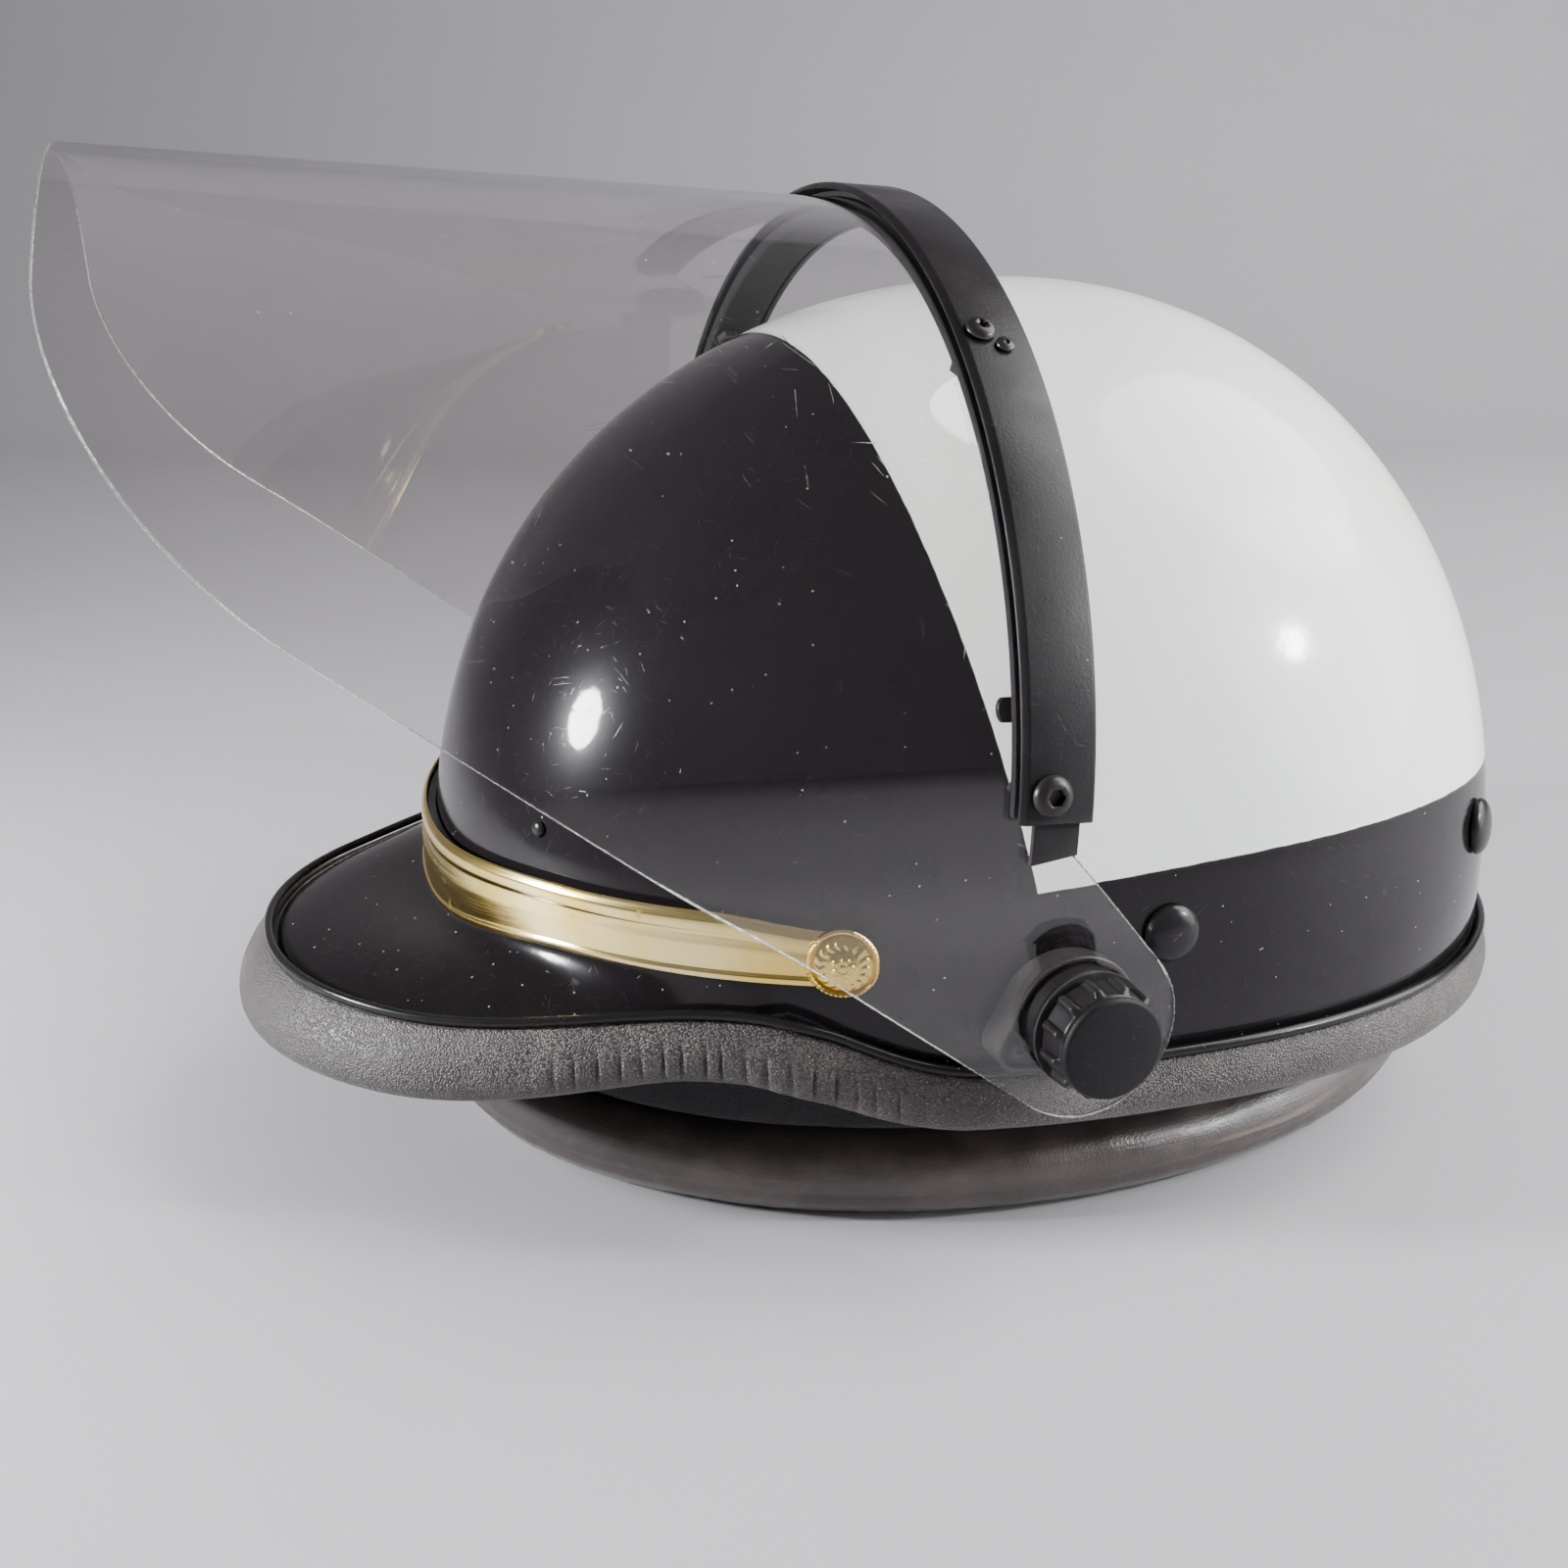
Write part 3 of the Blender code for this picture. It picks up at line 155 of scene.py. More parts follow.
# Harness: place on the shell as (angle from the front in degrees, height)
STRAP_RIVET_FRONT = (87.0, 0.0705)
STRAP_RIVET_REAR = (131.5, 0.0745)
PEAK_RIVET = (25.8, 0.0869)
STRAP_WIDTH = 0.0200
STRAP_WALL = 0.0016
PICK_PITCH = 0.0011
YARN_PITCH = 0.0018
STITCH_PITCH = 0.0040
STITCH_PLACE = 0.0042

# Two-tone paint: white lies behind the sloping front line and above the side line
FRONT_LINE_Y = -0.0400
FRONT_LINE_LEAN = 0.218
FRONT_LINE_HEIGHT = 0.0820
SIDE_LINE_HEIGHT = 0.08475
SIDE_LINE_RISE = 0.0625
SIDE_LINE_BOW = 0.397

# Stage, and the eye that the photo was solved for, in the plan frame
FLOOR_AHEAD = 6.0
FLOOR_BEHIND = 1.5
FLOOR_HALF_WIDTH = 5.0
FLOOR_DROP = 0.0003
SWEEP_RADIUS = 0.6
BACKDROP_HEIGHT = 2.2
EYE = (0.3932, -0.1879, 0.2036)
EYE_HEADING = math.radians(71.58)
EYE_DOWN = math.radians(17.404)
EYE_ROLL = math.radians(-0.184)
LENS = 38.22

SHIFT = Vector((0.0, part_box("shell")[0].y + SHELL_FRONT, 0.0))
UP = Vector((0.0, 0.0, 1.0))
SIDES = ((1, "left"), (-1, "right"))


# ---------------------------------------------------------------- mesh helpers

def ramp(value, start, end):
    share = min(1.0, max(0.0, (value - start) / (end - start)))
    return share * share * (3.0 - 2.0 * share)


def bell(value, middle, half):
    """1 at the middle, falling smoothly to 0 at half either side."""
    return 1.0 - ramp(abs(value - middle), 0.0, half)


def rounded(outline, radius, steps=3):
    """A closed outline of (a, b) pairs with each corner replaced by a short curve."""
    made = []
    corners = [Vector(point) for point in outline]
    for index, here in enumerate(corners):
        before = corners[index - 1]
        after = corners[(index + 1) % len(corners)]
        cut = radius[index] if isinstance(radius, (list, tuple)) else radius
        back = min(cut, 0.46 * (before - here).length)
        ahead = min(cut, 0.46 * (after - here).length)
        start = here + (before - here).normalized() * back
        end = here + (after - here).normalized() * ahead
        for step in range(steps + 1):
            t = step / steps
            made.append(start * (1 - t) ** 2 + here * 2 * t * (1 - t) + end * t * t)
    return made


def divided(outline, longest):
    """The closed outline with its long edges cut into pieces no longer than that."""
    made = []
    for index, here in enumerate(outline):
        after = outline[(index + 1) % len(outline)]
        count = max(1, math.ceil((Vector(after) - Vector(here)).length / longest))
        for step in range(count):
            made.append(Vector(here).lerp(Vector(after), step / count))
    return made


def mesh_object(name, points, faces, paints, smooth=40.0, lay=None, edge_faces=None):
    """One mesh in the row frame; lay holds a (along, round) distance per point, kept as the UV map 'Lay'."""
    mesh = bpy.data.meshes.new(name)
    mesh.from_pydata([tuple(Vector(point) + SHIFT) for point in points], [], faces)
    if lay:
        layer = mesh.uv_layers.new(name="Lay")
        for polygon in mesh.polygons:
            places = [lay[mesh.loops[loop].vertex_index] for loop in polygon.loop_indices]
            top = max(place[1] for place in places)
            far = max(place[0] for place in places)
            for loop, (along, about) in zip(polygon.loop_indices, places):
                layer.data[loop].uv = (
                    far if far - along > 0.02 and along < 1e-6 else along,
                    top if top - about > 0.02 and about < 1e-6 else about,
                )
    shape = bmesh.new()
    shape.from_mesh(mesh)
    bmesh.ops.remove_doubles(shape, verts=shape.verts, dist=1e-7)
    bmesh.ops.recalc_face_normals(shape, faces=shape.faces)
    shape.to_mesh(mesh)
    shape.free()
    mesh.shade_smooth()
    mesh.set_sharp_from_angle(angle=math.radians(smooth))
    for paint in paints if isinstance(paints, (list, tuple)) else [paints]:
        mesh.materials.append(paint)
    if edge_faces:
        for polygon in mesh.polygons:
            polygon.material_index = edge_faces(polygon)
    made = bpy.data.objects.new(name, mesh)
    bpy.context.collection.objects.link(made)
    return made


def loft(name, rings, paints, closed=False, smooth=40.0, **extra):
    """A solid through rings of equally many points: a closed loop of rings, or an open run with flat ends."""
    count = len(rings[0])
    points = [point for ring in rings for point in ring]
    faces = []
    for index in range(len(rings) if closed else len(rings) - 1):
        here = index * count
        there = (index + 1) % len(rings) * count
        for corner in range(count):
            after = (corner + 1) % count
            faces.append((here + corner, here + after, there + after, there + corner))
    if not closed:
        faces.append(tuple(range(count)))
        faces.append(tuple(range(len(points) - count, len(points))))
    about = [0.0]
    for corner in range(1, count):
        about.append(about[-1] + (Vector(rings[0][corner]) - Vector(rings[0][corner - 1])).length)
    lay = []
    along = 0.0
    for index, ring in enumerate(rings):
        if index:
            along += (Vector(ring[0]) - Vector(rings[index - 1][0])).length
        lay += [(along, distance) for distance in about]
    return mesh_object(name, points, faces, paints, smooth, lay, **extra)


def spun_point(centre, turn, reach, angle, height):
    """A point at a radius, angle and height about an axis that turn carries +Z to."""
    return Vector(centre) + turn @ Vector((reach * math.cos(angle), reach * math.sin(angle), height))


def turned(name, profile, segments, paints, centre, direction, wave=None, smooth=40.0):
    """A solid of revolution from (radius, height) pairs, set on centre with +Z along direction."""
    turn = direction.to_track_quat("Z", "Y").to_matrix()
    rings = []
    for row, (radius, height) in enumerate(profile):
        ring = []
        for step in range(segments):
            angle = math.tau * step / segments
            reach = radius * wave(row, angle) if wave else radius
            ring.append(spun_point(centre, turn, reach, angle, height))
        rings.append(ring)
    return loft(name, rings, paints, smooth=smooth)


def washer_shape(name, outline, segments, paints, centre, direction, wave=None, smooth=40.0):
    """A closed outline of (radius, height) pairs turned about its axis, open in the middle."""
    turn = direction.to_track_quat("Z", "Y").to_matrix()
    rings = []
    for step in range(segments):
        angle = math.tau * step / segments
        ring = []
        for row, (radius, height) in enumerate(outline):
            reach = radius + (wave(row, angle) if wave else 0.0)
            ring.append(spun_point(centre, turn, reach, angle, height))
        rings.append(ring)
    return loft(name, rings, paints, closed=True, smooth=smooth)


def smooth_path(corners, per_span):
    """Points on a Catmull-Rom curve through the corners."""
    guide = [2 * corners[0] - corners[1], *corners, 2 * corners[-1] - corners[-2]]
    path = []
    for index in range(1, len(guide) - 2):
        before, start, end, after = guide[index - 1:index + 3]
        for step in range(per_span):
            t = step / per_span
            path.append(
                0.5 * (2 * start + (end - before) * t
                       + (2 * before - 5 * start + 4 * end - after) * t ** 2
                       + (3 * start - before - 3 * end + after) * t ** 3)
            )
    path.append(corners[-1])
    return path


def stand_for(piece, body, slot, *nodes):
    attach(piece, body)
    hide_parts(*nodes)
    return piece


# ---------------------------------------------------------------- node helpers

class Paint:
    """A node material on one Principled shader, with short calls for the textures that drive it."""

    def __init__(self, name, **sockets):
        self.made = bpy.data.materials.new(name)
        self.made.use_nodes = True
        self.tree = self.made.node_tree
        self.shader = self.tree.nodes["Principled BSDF"]
        for socket, value in sockets.items():
            self.shader.inputs[socket.replace("_", " ")].default_value = value
        self.object = self.node("ShaderNodeTexCoord").outputs["Object"]
        self.bumps = None

    def node(self, kind, **settings):
        made = self.tree.nodes.new(kind)
        for key, value in settings.items():
            setattr(made, key, value)
        return made

    def feed(self, value, socket):
        if hasattr(value, "links"):
            self.tree.links.new(value, socket)
        else:
            socket.default_value = value

    def set(self, socket, value):
        self.feed(value, self.shader.inputs[socket])

    def math(self, operation, first, second=0.0, clamp=False):
        made = self.node("ShaderNodeMath", operation=operation, use_clamp=clamp)
        self.feed(first, made.inputs[0])
        self.feed(second, made.inputs[1])
        return made.outputs[0]

    def times(self, first, second, clamp=False):
        return self.math("MULTIPLY", first, second, clamp)

    def plus(self, first, second, clamp=False):
        return self.math("ADD", first, second, clamp)

    def minus(self, first, second, clamp=False):
        return self.math("SUBTRACT", first, second, clamp)

    def split(self, vector=None):
        made = self.node("ShaderNodeSeparateXYZ")
        self.feed(vector or self.object, made.inputs[0])
        return made.outputs

    def lay(self):
        return self.node("ShaderNodeUVMap", uv_map="Lay").outputs["UV"]

    def mapping(self, scale, rotation=(0.0, 0.0, 0.0), vector=None):
        made = self.node("ShaderNodeMapping")
        self.feed(vector or self.object, made.inputs["Vector"])
        made.inputs["Scale"].default_value = scale
        made.inputs["Rotation"].default_value = rotation
        return made.outputs[0]

    def noise(self, scale, detail=3.0, rough=0.55, vector=None, bend=0.0):
        made = self.node("ShaderNodeTexNoise")
        self.feed(vector or self.object, made.inputs["Vector"])
        made.inputs["Scale"].default_value = scale
        made.inputs["Detail"].default_value = detail
        made.inputs["Roughness"].default_value = rough
        made.inputs["Distortion"].default_value = bend
        return made.outputs["Fac"]

    def cells(self, scale, feature="F1", vector=None, spread=1.0, output="Distance"):
        made = self.node("ShaderNodeTexVoronoi", feature=feature)
        self.feed(vector or self.object, made.inputs["Vector"])
        made.inputs["Scale"].default_value = scale
        made.inputs["Randomness"].default_value = spread
        return made.outputs[output]

    def range(self, value, start, end, low=0.0, high=1.0):
        made = self.node("ShaderNodeMapRange", interpolation_type="SMOOTHSTEP")
        self.feed(value, made.inputs["Value"])
        for socket, number in zip(("From Min", "From Max", "To Min", "To Max"), (start, end, low, high)):
            made.inputs[socket].default_value = number
        return made.outputs[0]

    def mix(self, share, first, second):
        made = self.node("ShaderNodeMix", data_type="RGBA")
        self.feed(share, made.inputs["Factor"])
        self.feed((*first, 1.0) if isinstance(first, tuple) else first, made.inputs["A"])
        self.feed((*second, 1.0) if isinstance(second, tuple) else second, made.inputs["B"])
        return made.outputs["Result"]

    def bump(self, height, depth, strength=1.0):
        """Adds one more layer of relief, depth metres from a height of 0 to 1."""
        made = self.node("ShaderNodeBump")
        made.inputs["Strength"].default_value = strength
        made.inputs["Distance"].default_value = depth
        self.feed(height, made.inputs["Height"])
        if self.bumps is not None:
            self.feed(self.bumps, made.inputs["Normal"])
        self.bumps = made.outputs[0]
        self.feed(self.bumps, self.shader.inputs["Normal"])

    def dust_and_glint_specks(self, scale, size, amount, seed):
        """Sparse specks: small dots in the cells that a second draw picks."""
        where = self.mapping((1.0, 1.0, 1.0), (seed, 2.1 * seed, 0.7 * seed))
        near = self.cells(scale, vector=where)
        pick = self.cells(scale, vector=where, output="Color")
        chosen = self.math("GREATER_THAN", self.split(pick)[0], 1.0 - amount)
        ragged = self.plus(near, self.times(self.noise(scale * 3.0, 1.0), 0.10))
        return self.times(self.range(ragged, size + 0.05, size + 0.09, 1.0, 0.0), chosen)

    def vector(self, operation, first, second=(0.0, 0.0, 0.0), output="Vector"):
        made = self.node("ShaderNodeVectorMath", operation=operation)
        self.feed(first, made.inputs[0])
        self.feed(second, made.inputs[1])
        return made.outputs[output]

    def scratches(self, scale, count, width=0.00006, keep=0.45):
        """Short straight hairlines, at most one to a cell, each in a direction of its own."""
        total = None
        for index in range(count):
            where = self.mapping((1.0, 1.0, 1.0), (0.9 + 1.3 * index, 0.5 + 0.77 * index, 1.7 * index))
            size = scale * (1.0 + 0.43 * index)
            cell = self.node("ShaderNodeTexVoronoi")
            self.feed(where, cell.inputs["Vector"])
            cell.inputs["Scale"].default_value = size
            away = self.vector("SUBTRACT", where, cell.outputs["Position"])
            facing = self.vector("NORMALIZE", self.vector("SUBTRACT", cell.outputs["Color"], (0.5, 0.5, 0.5)))
            off_line = self.math("ABSOLUTE", self.vector("DOT_PRODUCT", away, facing, "Value"))
            reach = self.range(cell.outputs["Distance"], 0.12, 0.42, 1.0, 0.0)
            pick = self.node("ShaderNodeTexWhiteNoise")
            self.feed(cell.outputs["Position"], pick.inputs["Vector"])
            drawn = self.times(reach, self.math("LESS_THAN", pick.outputs["Value"], keep))
            line = self.times(self.range(off_line, 0.3 * width, width, 1.0, 0.0), drawn)
            total = line if total is None else self.math("MAXIMUM", total, line)
        return total


def painted_white_share(paint):
    """Above 0 where the shell is white: how far inside its front and side paint lines a point lies."""
    _, y, z = paint.split()
    plan_y = paint.minus(y, SHIFT.y)
    lean = paint.times(paint.minus(z, FRONT_LINE_HEIGHT), -FRONT_LINE_LEAN)
    behind = paint.minus(plan_y, paint.plus(lean, FRONT_LINE_Y))
    slope = paint.minus(SIDE_LINE_RISE, paint.times(plan_y, SIDE_LINE_BOW))
    line = paint.plus(SIDE_LINE_HEIGHT, paint.times(plan_y, slope))
    above = paint.minus(z, line)
    inside = paint.math("MINIMUM", behind, above)
    wander = paint.times(paint.minus(paint.noise(260.0, 2.0), 0.5), 0.00035)
    return paint.plus(inside, wander)


def shell_paint():
    paint = Paint("two_tone_gloss_paint", Coat_Weight=0.14, Coat_Roughness=0.26, Specular_IOR_Level=0.19)
    inside = painted_white_share(paint)
    white = paint.range(inside, -0.00012, 0.00012)
    cloud = paint.noise(26.0, 4.0)
    yellowed = paint.range(paint.noise(9.0, 3.0), 0.35, 0.75)
    cream = paint.mix(yellowed, (0.845, 0.885, 0.845), (0.815, 0.840, 0.775))
    scuff = paint.range(paint.noise(55.0, 6.0, 0.7), 0.69, 0.76)
    cream = paint.mix(paint.times(scuff, 0.35), cream, (0.46, 0.44, 0.38))
    black = paint.mix(cloud, (0.0050, 0.0042, 0.0052), (0.0115, 0.0092, 0.0105))
    hair = paint.scratches(140.0, 5)
    black = paint.mix(paint.times(hair, 0.045), black, (0.30, 0.29, 0.32))
    both = paint.mix(white, black, cream)
    dust_and_glint_specks = paint.dust_and_glint_specks(430.0, 0.06, 0.19, 0.3)
    dark_only = paint.times(dust_and_glint_specks, paint.minus(1.0, white))
    paint.set("Base Color", paint.mix(paint.times(dark_only, 0.75), both, (0.52, 0.48, 0.45)))
    smudge = paint.range(paint.noise(17.0, 5.0, 0.65, bend=0.8), 0.42, 0.70, 0.055, 0.20)
    calm = paint.range(cloud, 0.3, 0.7, 0.09, 0.16)
    gloss = paint.node("ShaderNodeMix", data_type="FLOAT")
    for value, socket in ((white, 0), (smudge, 2), (calm, 3)):
        paint.feed(value, gloss.inputs[socket])
    rough = paint.plus(gloss.outputs[0], paint.times(hair, 0.12))
    paint.set("Roughness", paint.plus(rough, paint.times(dust_and_glint_specks, 0.5), clamp=True))
    paint.bump(paint.noise(210.0, 2.0), 0.00003)
    paint.bump(paint.noise(34.0, 1.0), 0.00018, 0.5)
    paint.bump(hair, 0.000012)
    paint.bump(paint.range(paint.math("ABSOLUTE", inside), 0.0001, 0.0007, 1.0, 0.0), 0.00010)
    return paint.made


def peak_paint():
    paint = Paint("black_peak_paint", Coat_Weight=0.14, Coat_Roughness=0.26, Specular_IOR_Level=0.19)
    cloud = paint.noise(30.0, 4.0)
    black = paint.mix(cloud, (0.0048, 0.0040, 0.0048), (0.0120, 0.0094, 0.0104))
    hair = paint.scratches(170.0, 5)
    black = paint.mix(paint.times(hair, 0.05), black, (0.30, 0.28, 0.28))
    dust_and_glint_specks = paint.dust_and_glint_specks(400.0, 0.07, 0.28, 1.1)
    paint.set("Base Color", paint.mix(paint.times(dust_and_glint_specks, 0.7), black, (0.50, 0.44, 0.38)))
    smudge = paint.range(paint.noise(22.0, 5.0, 0.65, bend=0.8), 0.40, 0.70, 0.06, 0.24)
    rough = paint.plus(smudge, paint.times(hair, 0.12))
    paint.set("Roughness", paint.plus(rough, paint.times(dust_and_glint_specks, 0.5), clamp=True))
    paint.bump(paint.noise(230.0, 2.0), 0.00003)
    paint.bump(paint.noise(40.0, 1.0), 0.00022, 0.5)
    paint.bump(hair, 0.000012)
    return paint.made


def grained_vinyl(name, dark, light, low, high, grain, depth, sparkle):
    """Pebbled vinyl: raised cells with softened valleys, and painted highlights: pale glint specks on some of
    them, which are a little glossier too.
    """
    paint = Paint(name, Sheen_Weight=0.12, Sheen_Roughness=0.5)
    bent = paint.mapping((1.0, 1.0, 1.25))
    pebble = paint.cells(grain, vector=bent)
    fine = paint.noise(grain * 2.2, 2.0)
    worn = paint.range(paint.noise(45.0, 5.0, 0.6), 0.42, 0.72)
    colour = paint.mix(worn, dark, light)
    colour = paint.mix(paint.range(pebble, 0.30, 0.75), colour, tuple(0.45 * part for part in dark))
    # These specks are painted highlights: pale glints on the grain, where the roughness is also lowered.
    specks = paint.dust_and_glint_specks(grain * 0.75, 0.16, sparkle, 0.8)
    paint.set("Base Color", paint.mix(paint.times(specks, 0.60), colour, (0.50, 0.45, 0.40)))
    shine = paint.times(specks, 0.28)
    paint.set("Roughness", paint.minus(paint.range(fine, 0.3, 0.7, low, high), shine))
    paint.bump(paint.range(pebble, 0.0, 0.75, 1.0, 0.0), depth)
    paint.bump(fine, depth * 0.35)
    return paint.made


def roll_vinyl():
    """Satin vinyl with long shallow wrinkles and a fine grain, paler where it is rubbed, with painted
    highlight streaks along the wrinkles' crests.
    """
    paint = Paint("brown_black_vinyl", Sheen_Weight=0.08, Coat_Weight=0.25, Coat_Roughness=0.34)
    lay = paint.mapping((9.0, 150.0, 1.0), vector=paint.lay())
    crease = paint.noise(1.0, 4.0, 0.62, lay, 0.5)
    rubbed = paint.range(paint.noise(36.0, 5.0, 0.6), 0.45, 0.72)
    colour = paint.mix(rubbed, (0.047, 0.034, 0.031), (0.098, 0.074, 0.065))
    # Painted highlight: the crests of the long wrinkles are painted paler, as streaks of light.
    colour = paint.mix(paint.range(crease, 0.60, 0.72), colour, (0.150, 0.116, 0.094))
    paint.set("Base Color", colour)
    paint.set("Roughness", paint.range(paint.noise(75.0, 4.0), 0.3, 0.7, 0.34, 0.52))
    paint.bump(crease, 0.00045, 0.8)
    paint.bump(paint.cells(1500.0), 0.00006)
    paint.bump(paint.noise(420.0, 3.0), 0.00008)
    return paint.made


def gold_plate():
    """Bright plate with a cream cast, fine polishing lines along it, tarnish and small dings."""
    paint = Paint("gold_plate", Metallic=1.0)
    lines = paint.noise(1.0, 2.0, 0.6, paint.mapping((30.0, 5200.0, 1.0), vector=paint.lay()))
    tone = paint.range(paint.noise(42.0, 3.0), 0.35, 0.70)
    colour = paint.mix(tone, (0.84, 0.61, 0.16), (0.93, 0.76, 0.35))
    tarnish = paint.range(paint.noise(130.0, 6.0, 0.7), 0.60, 0.74)
    colour = paint.mix(paint.times(tarnish, 0.55), colour, (0.36, 0.22, 0.07))
    specks = paint.dust_and_glint_specks(420.0, 0.06, 0.05, 0.5)
    paint.set("Base Color", paint.mix(specks, colour, (0.20, 0.13, 0.06)))
    rough = paint.range(lines, 0.3, 0.7, 0.13, 0.26)
    paint.set("Roughness", paint.plus(rough, paint.times(tarnish, 0.22)))
    paint.bump(lines, 0.000012)
    paint.bump(paint.noise(95.0, 2.0), 0.00010, 0.5)
    return paint.made


def hard_black(name, dark, light, low, high, grain, depth, worn=0.4, metal=0.0, dusty=0.04):
    """Moulded plastic or blackened metal: fine texture, scuffs, dust, paler rubbed edges."""
    paint = Paint(name, Metallic=metal, Specular_IOR_Level=0.24)
    pointed = paint.node("ShaderNodeNewGeometry").outputs["Pointiness"]
    edge = paint.times(paint.range(pointed, 0.53, 0.62), paint.noise(190.0, 4.0, 0.7))
    hair = paint.scratches(300.0, 2, keep=0.30)
    colour = paint.mix(paint.noise(60.0, 4.0), dark, light)
    colour = paint.mix(paint.times(hair, 0.12), colour, (0.20, 0.19, 0.19))
    colour = paint.mix(paint.times(edge, worn), colour, (0.24, 0.22, 0.21))
    dust_and_glint_specks = paint.dust_and_glint_specks(460.0, 0.05, dusty, 0.9)
    paint.set("Base Color", paint.mix(paint.times(dust_and_glint_specks, 0.6), colour, (0.45, 0.41, 0.37)))
    rough = paint.range(paint.noise(55.0, 4.0), 0.3, 0.7, low, high)
    paint.set("Roughness", paint.minus(rough, paint.times(edge, 0.12), clamp=True))
    paint.bump(paint.noise(grain, 2.0), depth)
    paint.bump(hair, 0.00001)
    return paint.made


def bright_metal():
    paint = Paint("zinc_steel", Metallic=1.0)
    cloud = paint.noise(220.0, 4.0)
    paint.set("Base Color", paint.mix(cloud, (0.36, 0.36, 0.35), (0.62, 0.61, 0.58)))
    paint.set("Roughness", paint.range(cloud, 0.3, 0.7, 0.28, 0.46))
    paint.bump(paint.noise(1400.0, 2.0), 0.00002)
    return paint.made


def bead_foam():
    paint = Paint("black_bead_foam")
    bead = paint.cells(330.0)
    wall = paint.cells(330.0, "DISTANCE_TO_EDGE")
    colour = paint.mix(paint.noise(24.0, 3.0), (0.026, 0.026, 0.028), (0.048, 0.047, 0.050))
    paint.set("Base Color", paint.mix(paint.range(wall, 0.0, 0.12, 1.0, 0.0), colour, (0.010, 0.010, 0.011)))
    paint.set("Roughness", paint.range(bead, 0.0, 0.6, 0.62, 0.88))
    paint.bump(paint.range(wall, 0.0, 0.16), 0.00035)
    paint.bump(paint.noise(900.0, 2.0), 0.00006)
    return paint.made


def knit_cloth():
    """Warp-knit lining cloth: small open loops in offset rows over a brushed ground."""
    paint = Paint("charcoal_knit", Sheen_Weight=0.12, Sheen_Roughness=0.45)
    hole = paint.cells(1050.0, spread=0.45)
    fuzz = paint.noise(1500.0, 4.0, 0.7)
    colour = paint.mix(paint.noise(40.0, 4.0), (0.008, 0.007, 0.008), (0.019, 0.017, 0.018))
    colour = paint.mix(paint.range(hole, 0.10, 0.34, 1.0, 0.0), colour, (0.005, 0.005, 0.006))
    paint.set("Base Color", paint.mix(paint.range(fuzz, 0.58, 0.75), colour, (0.036, 0.033, 0.034)))
    paint.set("Roughness", paint.range(fuzz, 0.3, 0.7, 0.78, 0.98))
    paint.bump(paint.range(hole, 0.08, 0.45), 0.00016)
    paint.bump(fuzz, 0.00012)
    return paint.made


def sweat_leather():
    paint = Paint("black_leather", Sheen_Weight=0.08)
    grain = paint.cells(1100.0, "SMOOTH_F1")
    crack = paint.cells(1100.0, "DISTANCE_TO_EDGE")
    worn = paint.range(paint.noise(50.0, 5.0, 0.65), 0.48, 0.70)
    colour = paint.mix(worn, (0.016, 0.012, 0.011), (0.058, 0.040, 0.030))
    paint.set("Base Color", paint.mix(paint.range(crack, 0.0, 0.10, 1.0, 0.0), colour, (0.007, 0.006, 0.005)))
    paint.set("Roughness", paint.range(worn, 0.0, 1.0, 0.52, 0.34))
    paint.bump(paint.range(crack, 0.0, 0.22), 0.00016)
    paint.bump(grain, 0.00008)
    stitch_line(paint, STITCH_PITCH)
    return paint.made


def stitch_line(paint, pitch):
    """A sunk row of stitches along the piece, one third of the way up its face."""
    along, about, _ = paint.split(paint.lay())
    beat = paint.math("SINE", paint.times(along, math.tau / pitch))
    near = paint.math("ABSOLUTE", paint.minus(about, STITCH_PLACE))
    thread = paint.times(paint.range(near, 0.0003, 0.0007, 1.0, 0.0), paint.range(beat, -0.5, 0.1))
    paint.bump(thread, 0.00030)
    paint.bump(paint.range(near, 0.0004, 0.0018, 1.0, 0.0), -0.00035)


def strap_webbing():
    """Polyester webbing: crosswise picks every 1.1 mm over lengthwise yarns, fuzzed at the surface."""
    paint = Paint("black_webbing", Sheen_Weight=0.35, Sheen_Roughness=0.4)
    along, about, _ = paint.split(paint.lay())
    row = paint.math("SINE", paint.times(along, math.tau / PICK_PITCH))
    yarn_phase = paint.plus(paint.times(about, math.tau / YARN_PITCH),
                            paint.times(along, math.pi / PICK_PITCH))
    yarn = paint.math("SINE", yarn_phase)
    weave = paint.plus(paint.times(paint.times(row, yarn), 0.5), 0.5)
    fuzz = paint.noise(2200.0, 3.0, 0.7)
    colour = paint.mix(paint.noise(70.0, 4.0), (0.012, 0.012, 0.014), (0.032, 0.031, 0.035))
    colour = paint.mix(paint.times(weave, 0.6), colour, (0.060, 0.058, 0.064))
    paint.set("Base Color", paint.mix(paint.range(fuzz, 0.62, 0.80), colour, (0.11, 0.105, 0.11)))
    paint.set("Roughness", paint.range(fuzz, 0.3, 0.7, 0.66, 0.92))
    paint.bump(weave, 0.00028)
    paint.bump(fuzz, 0.00008)
    return paint.made


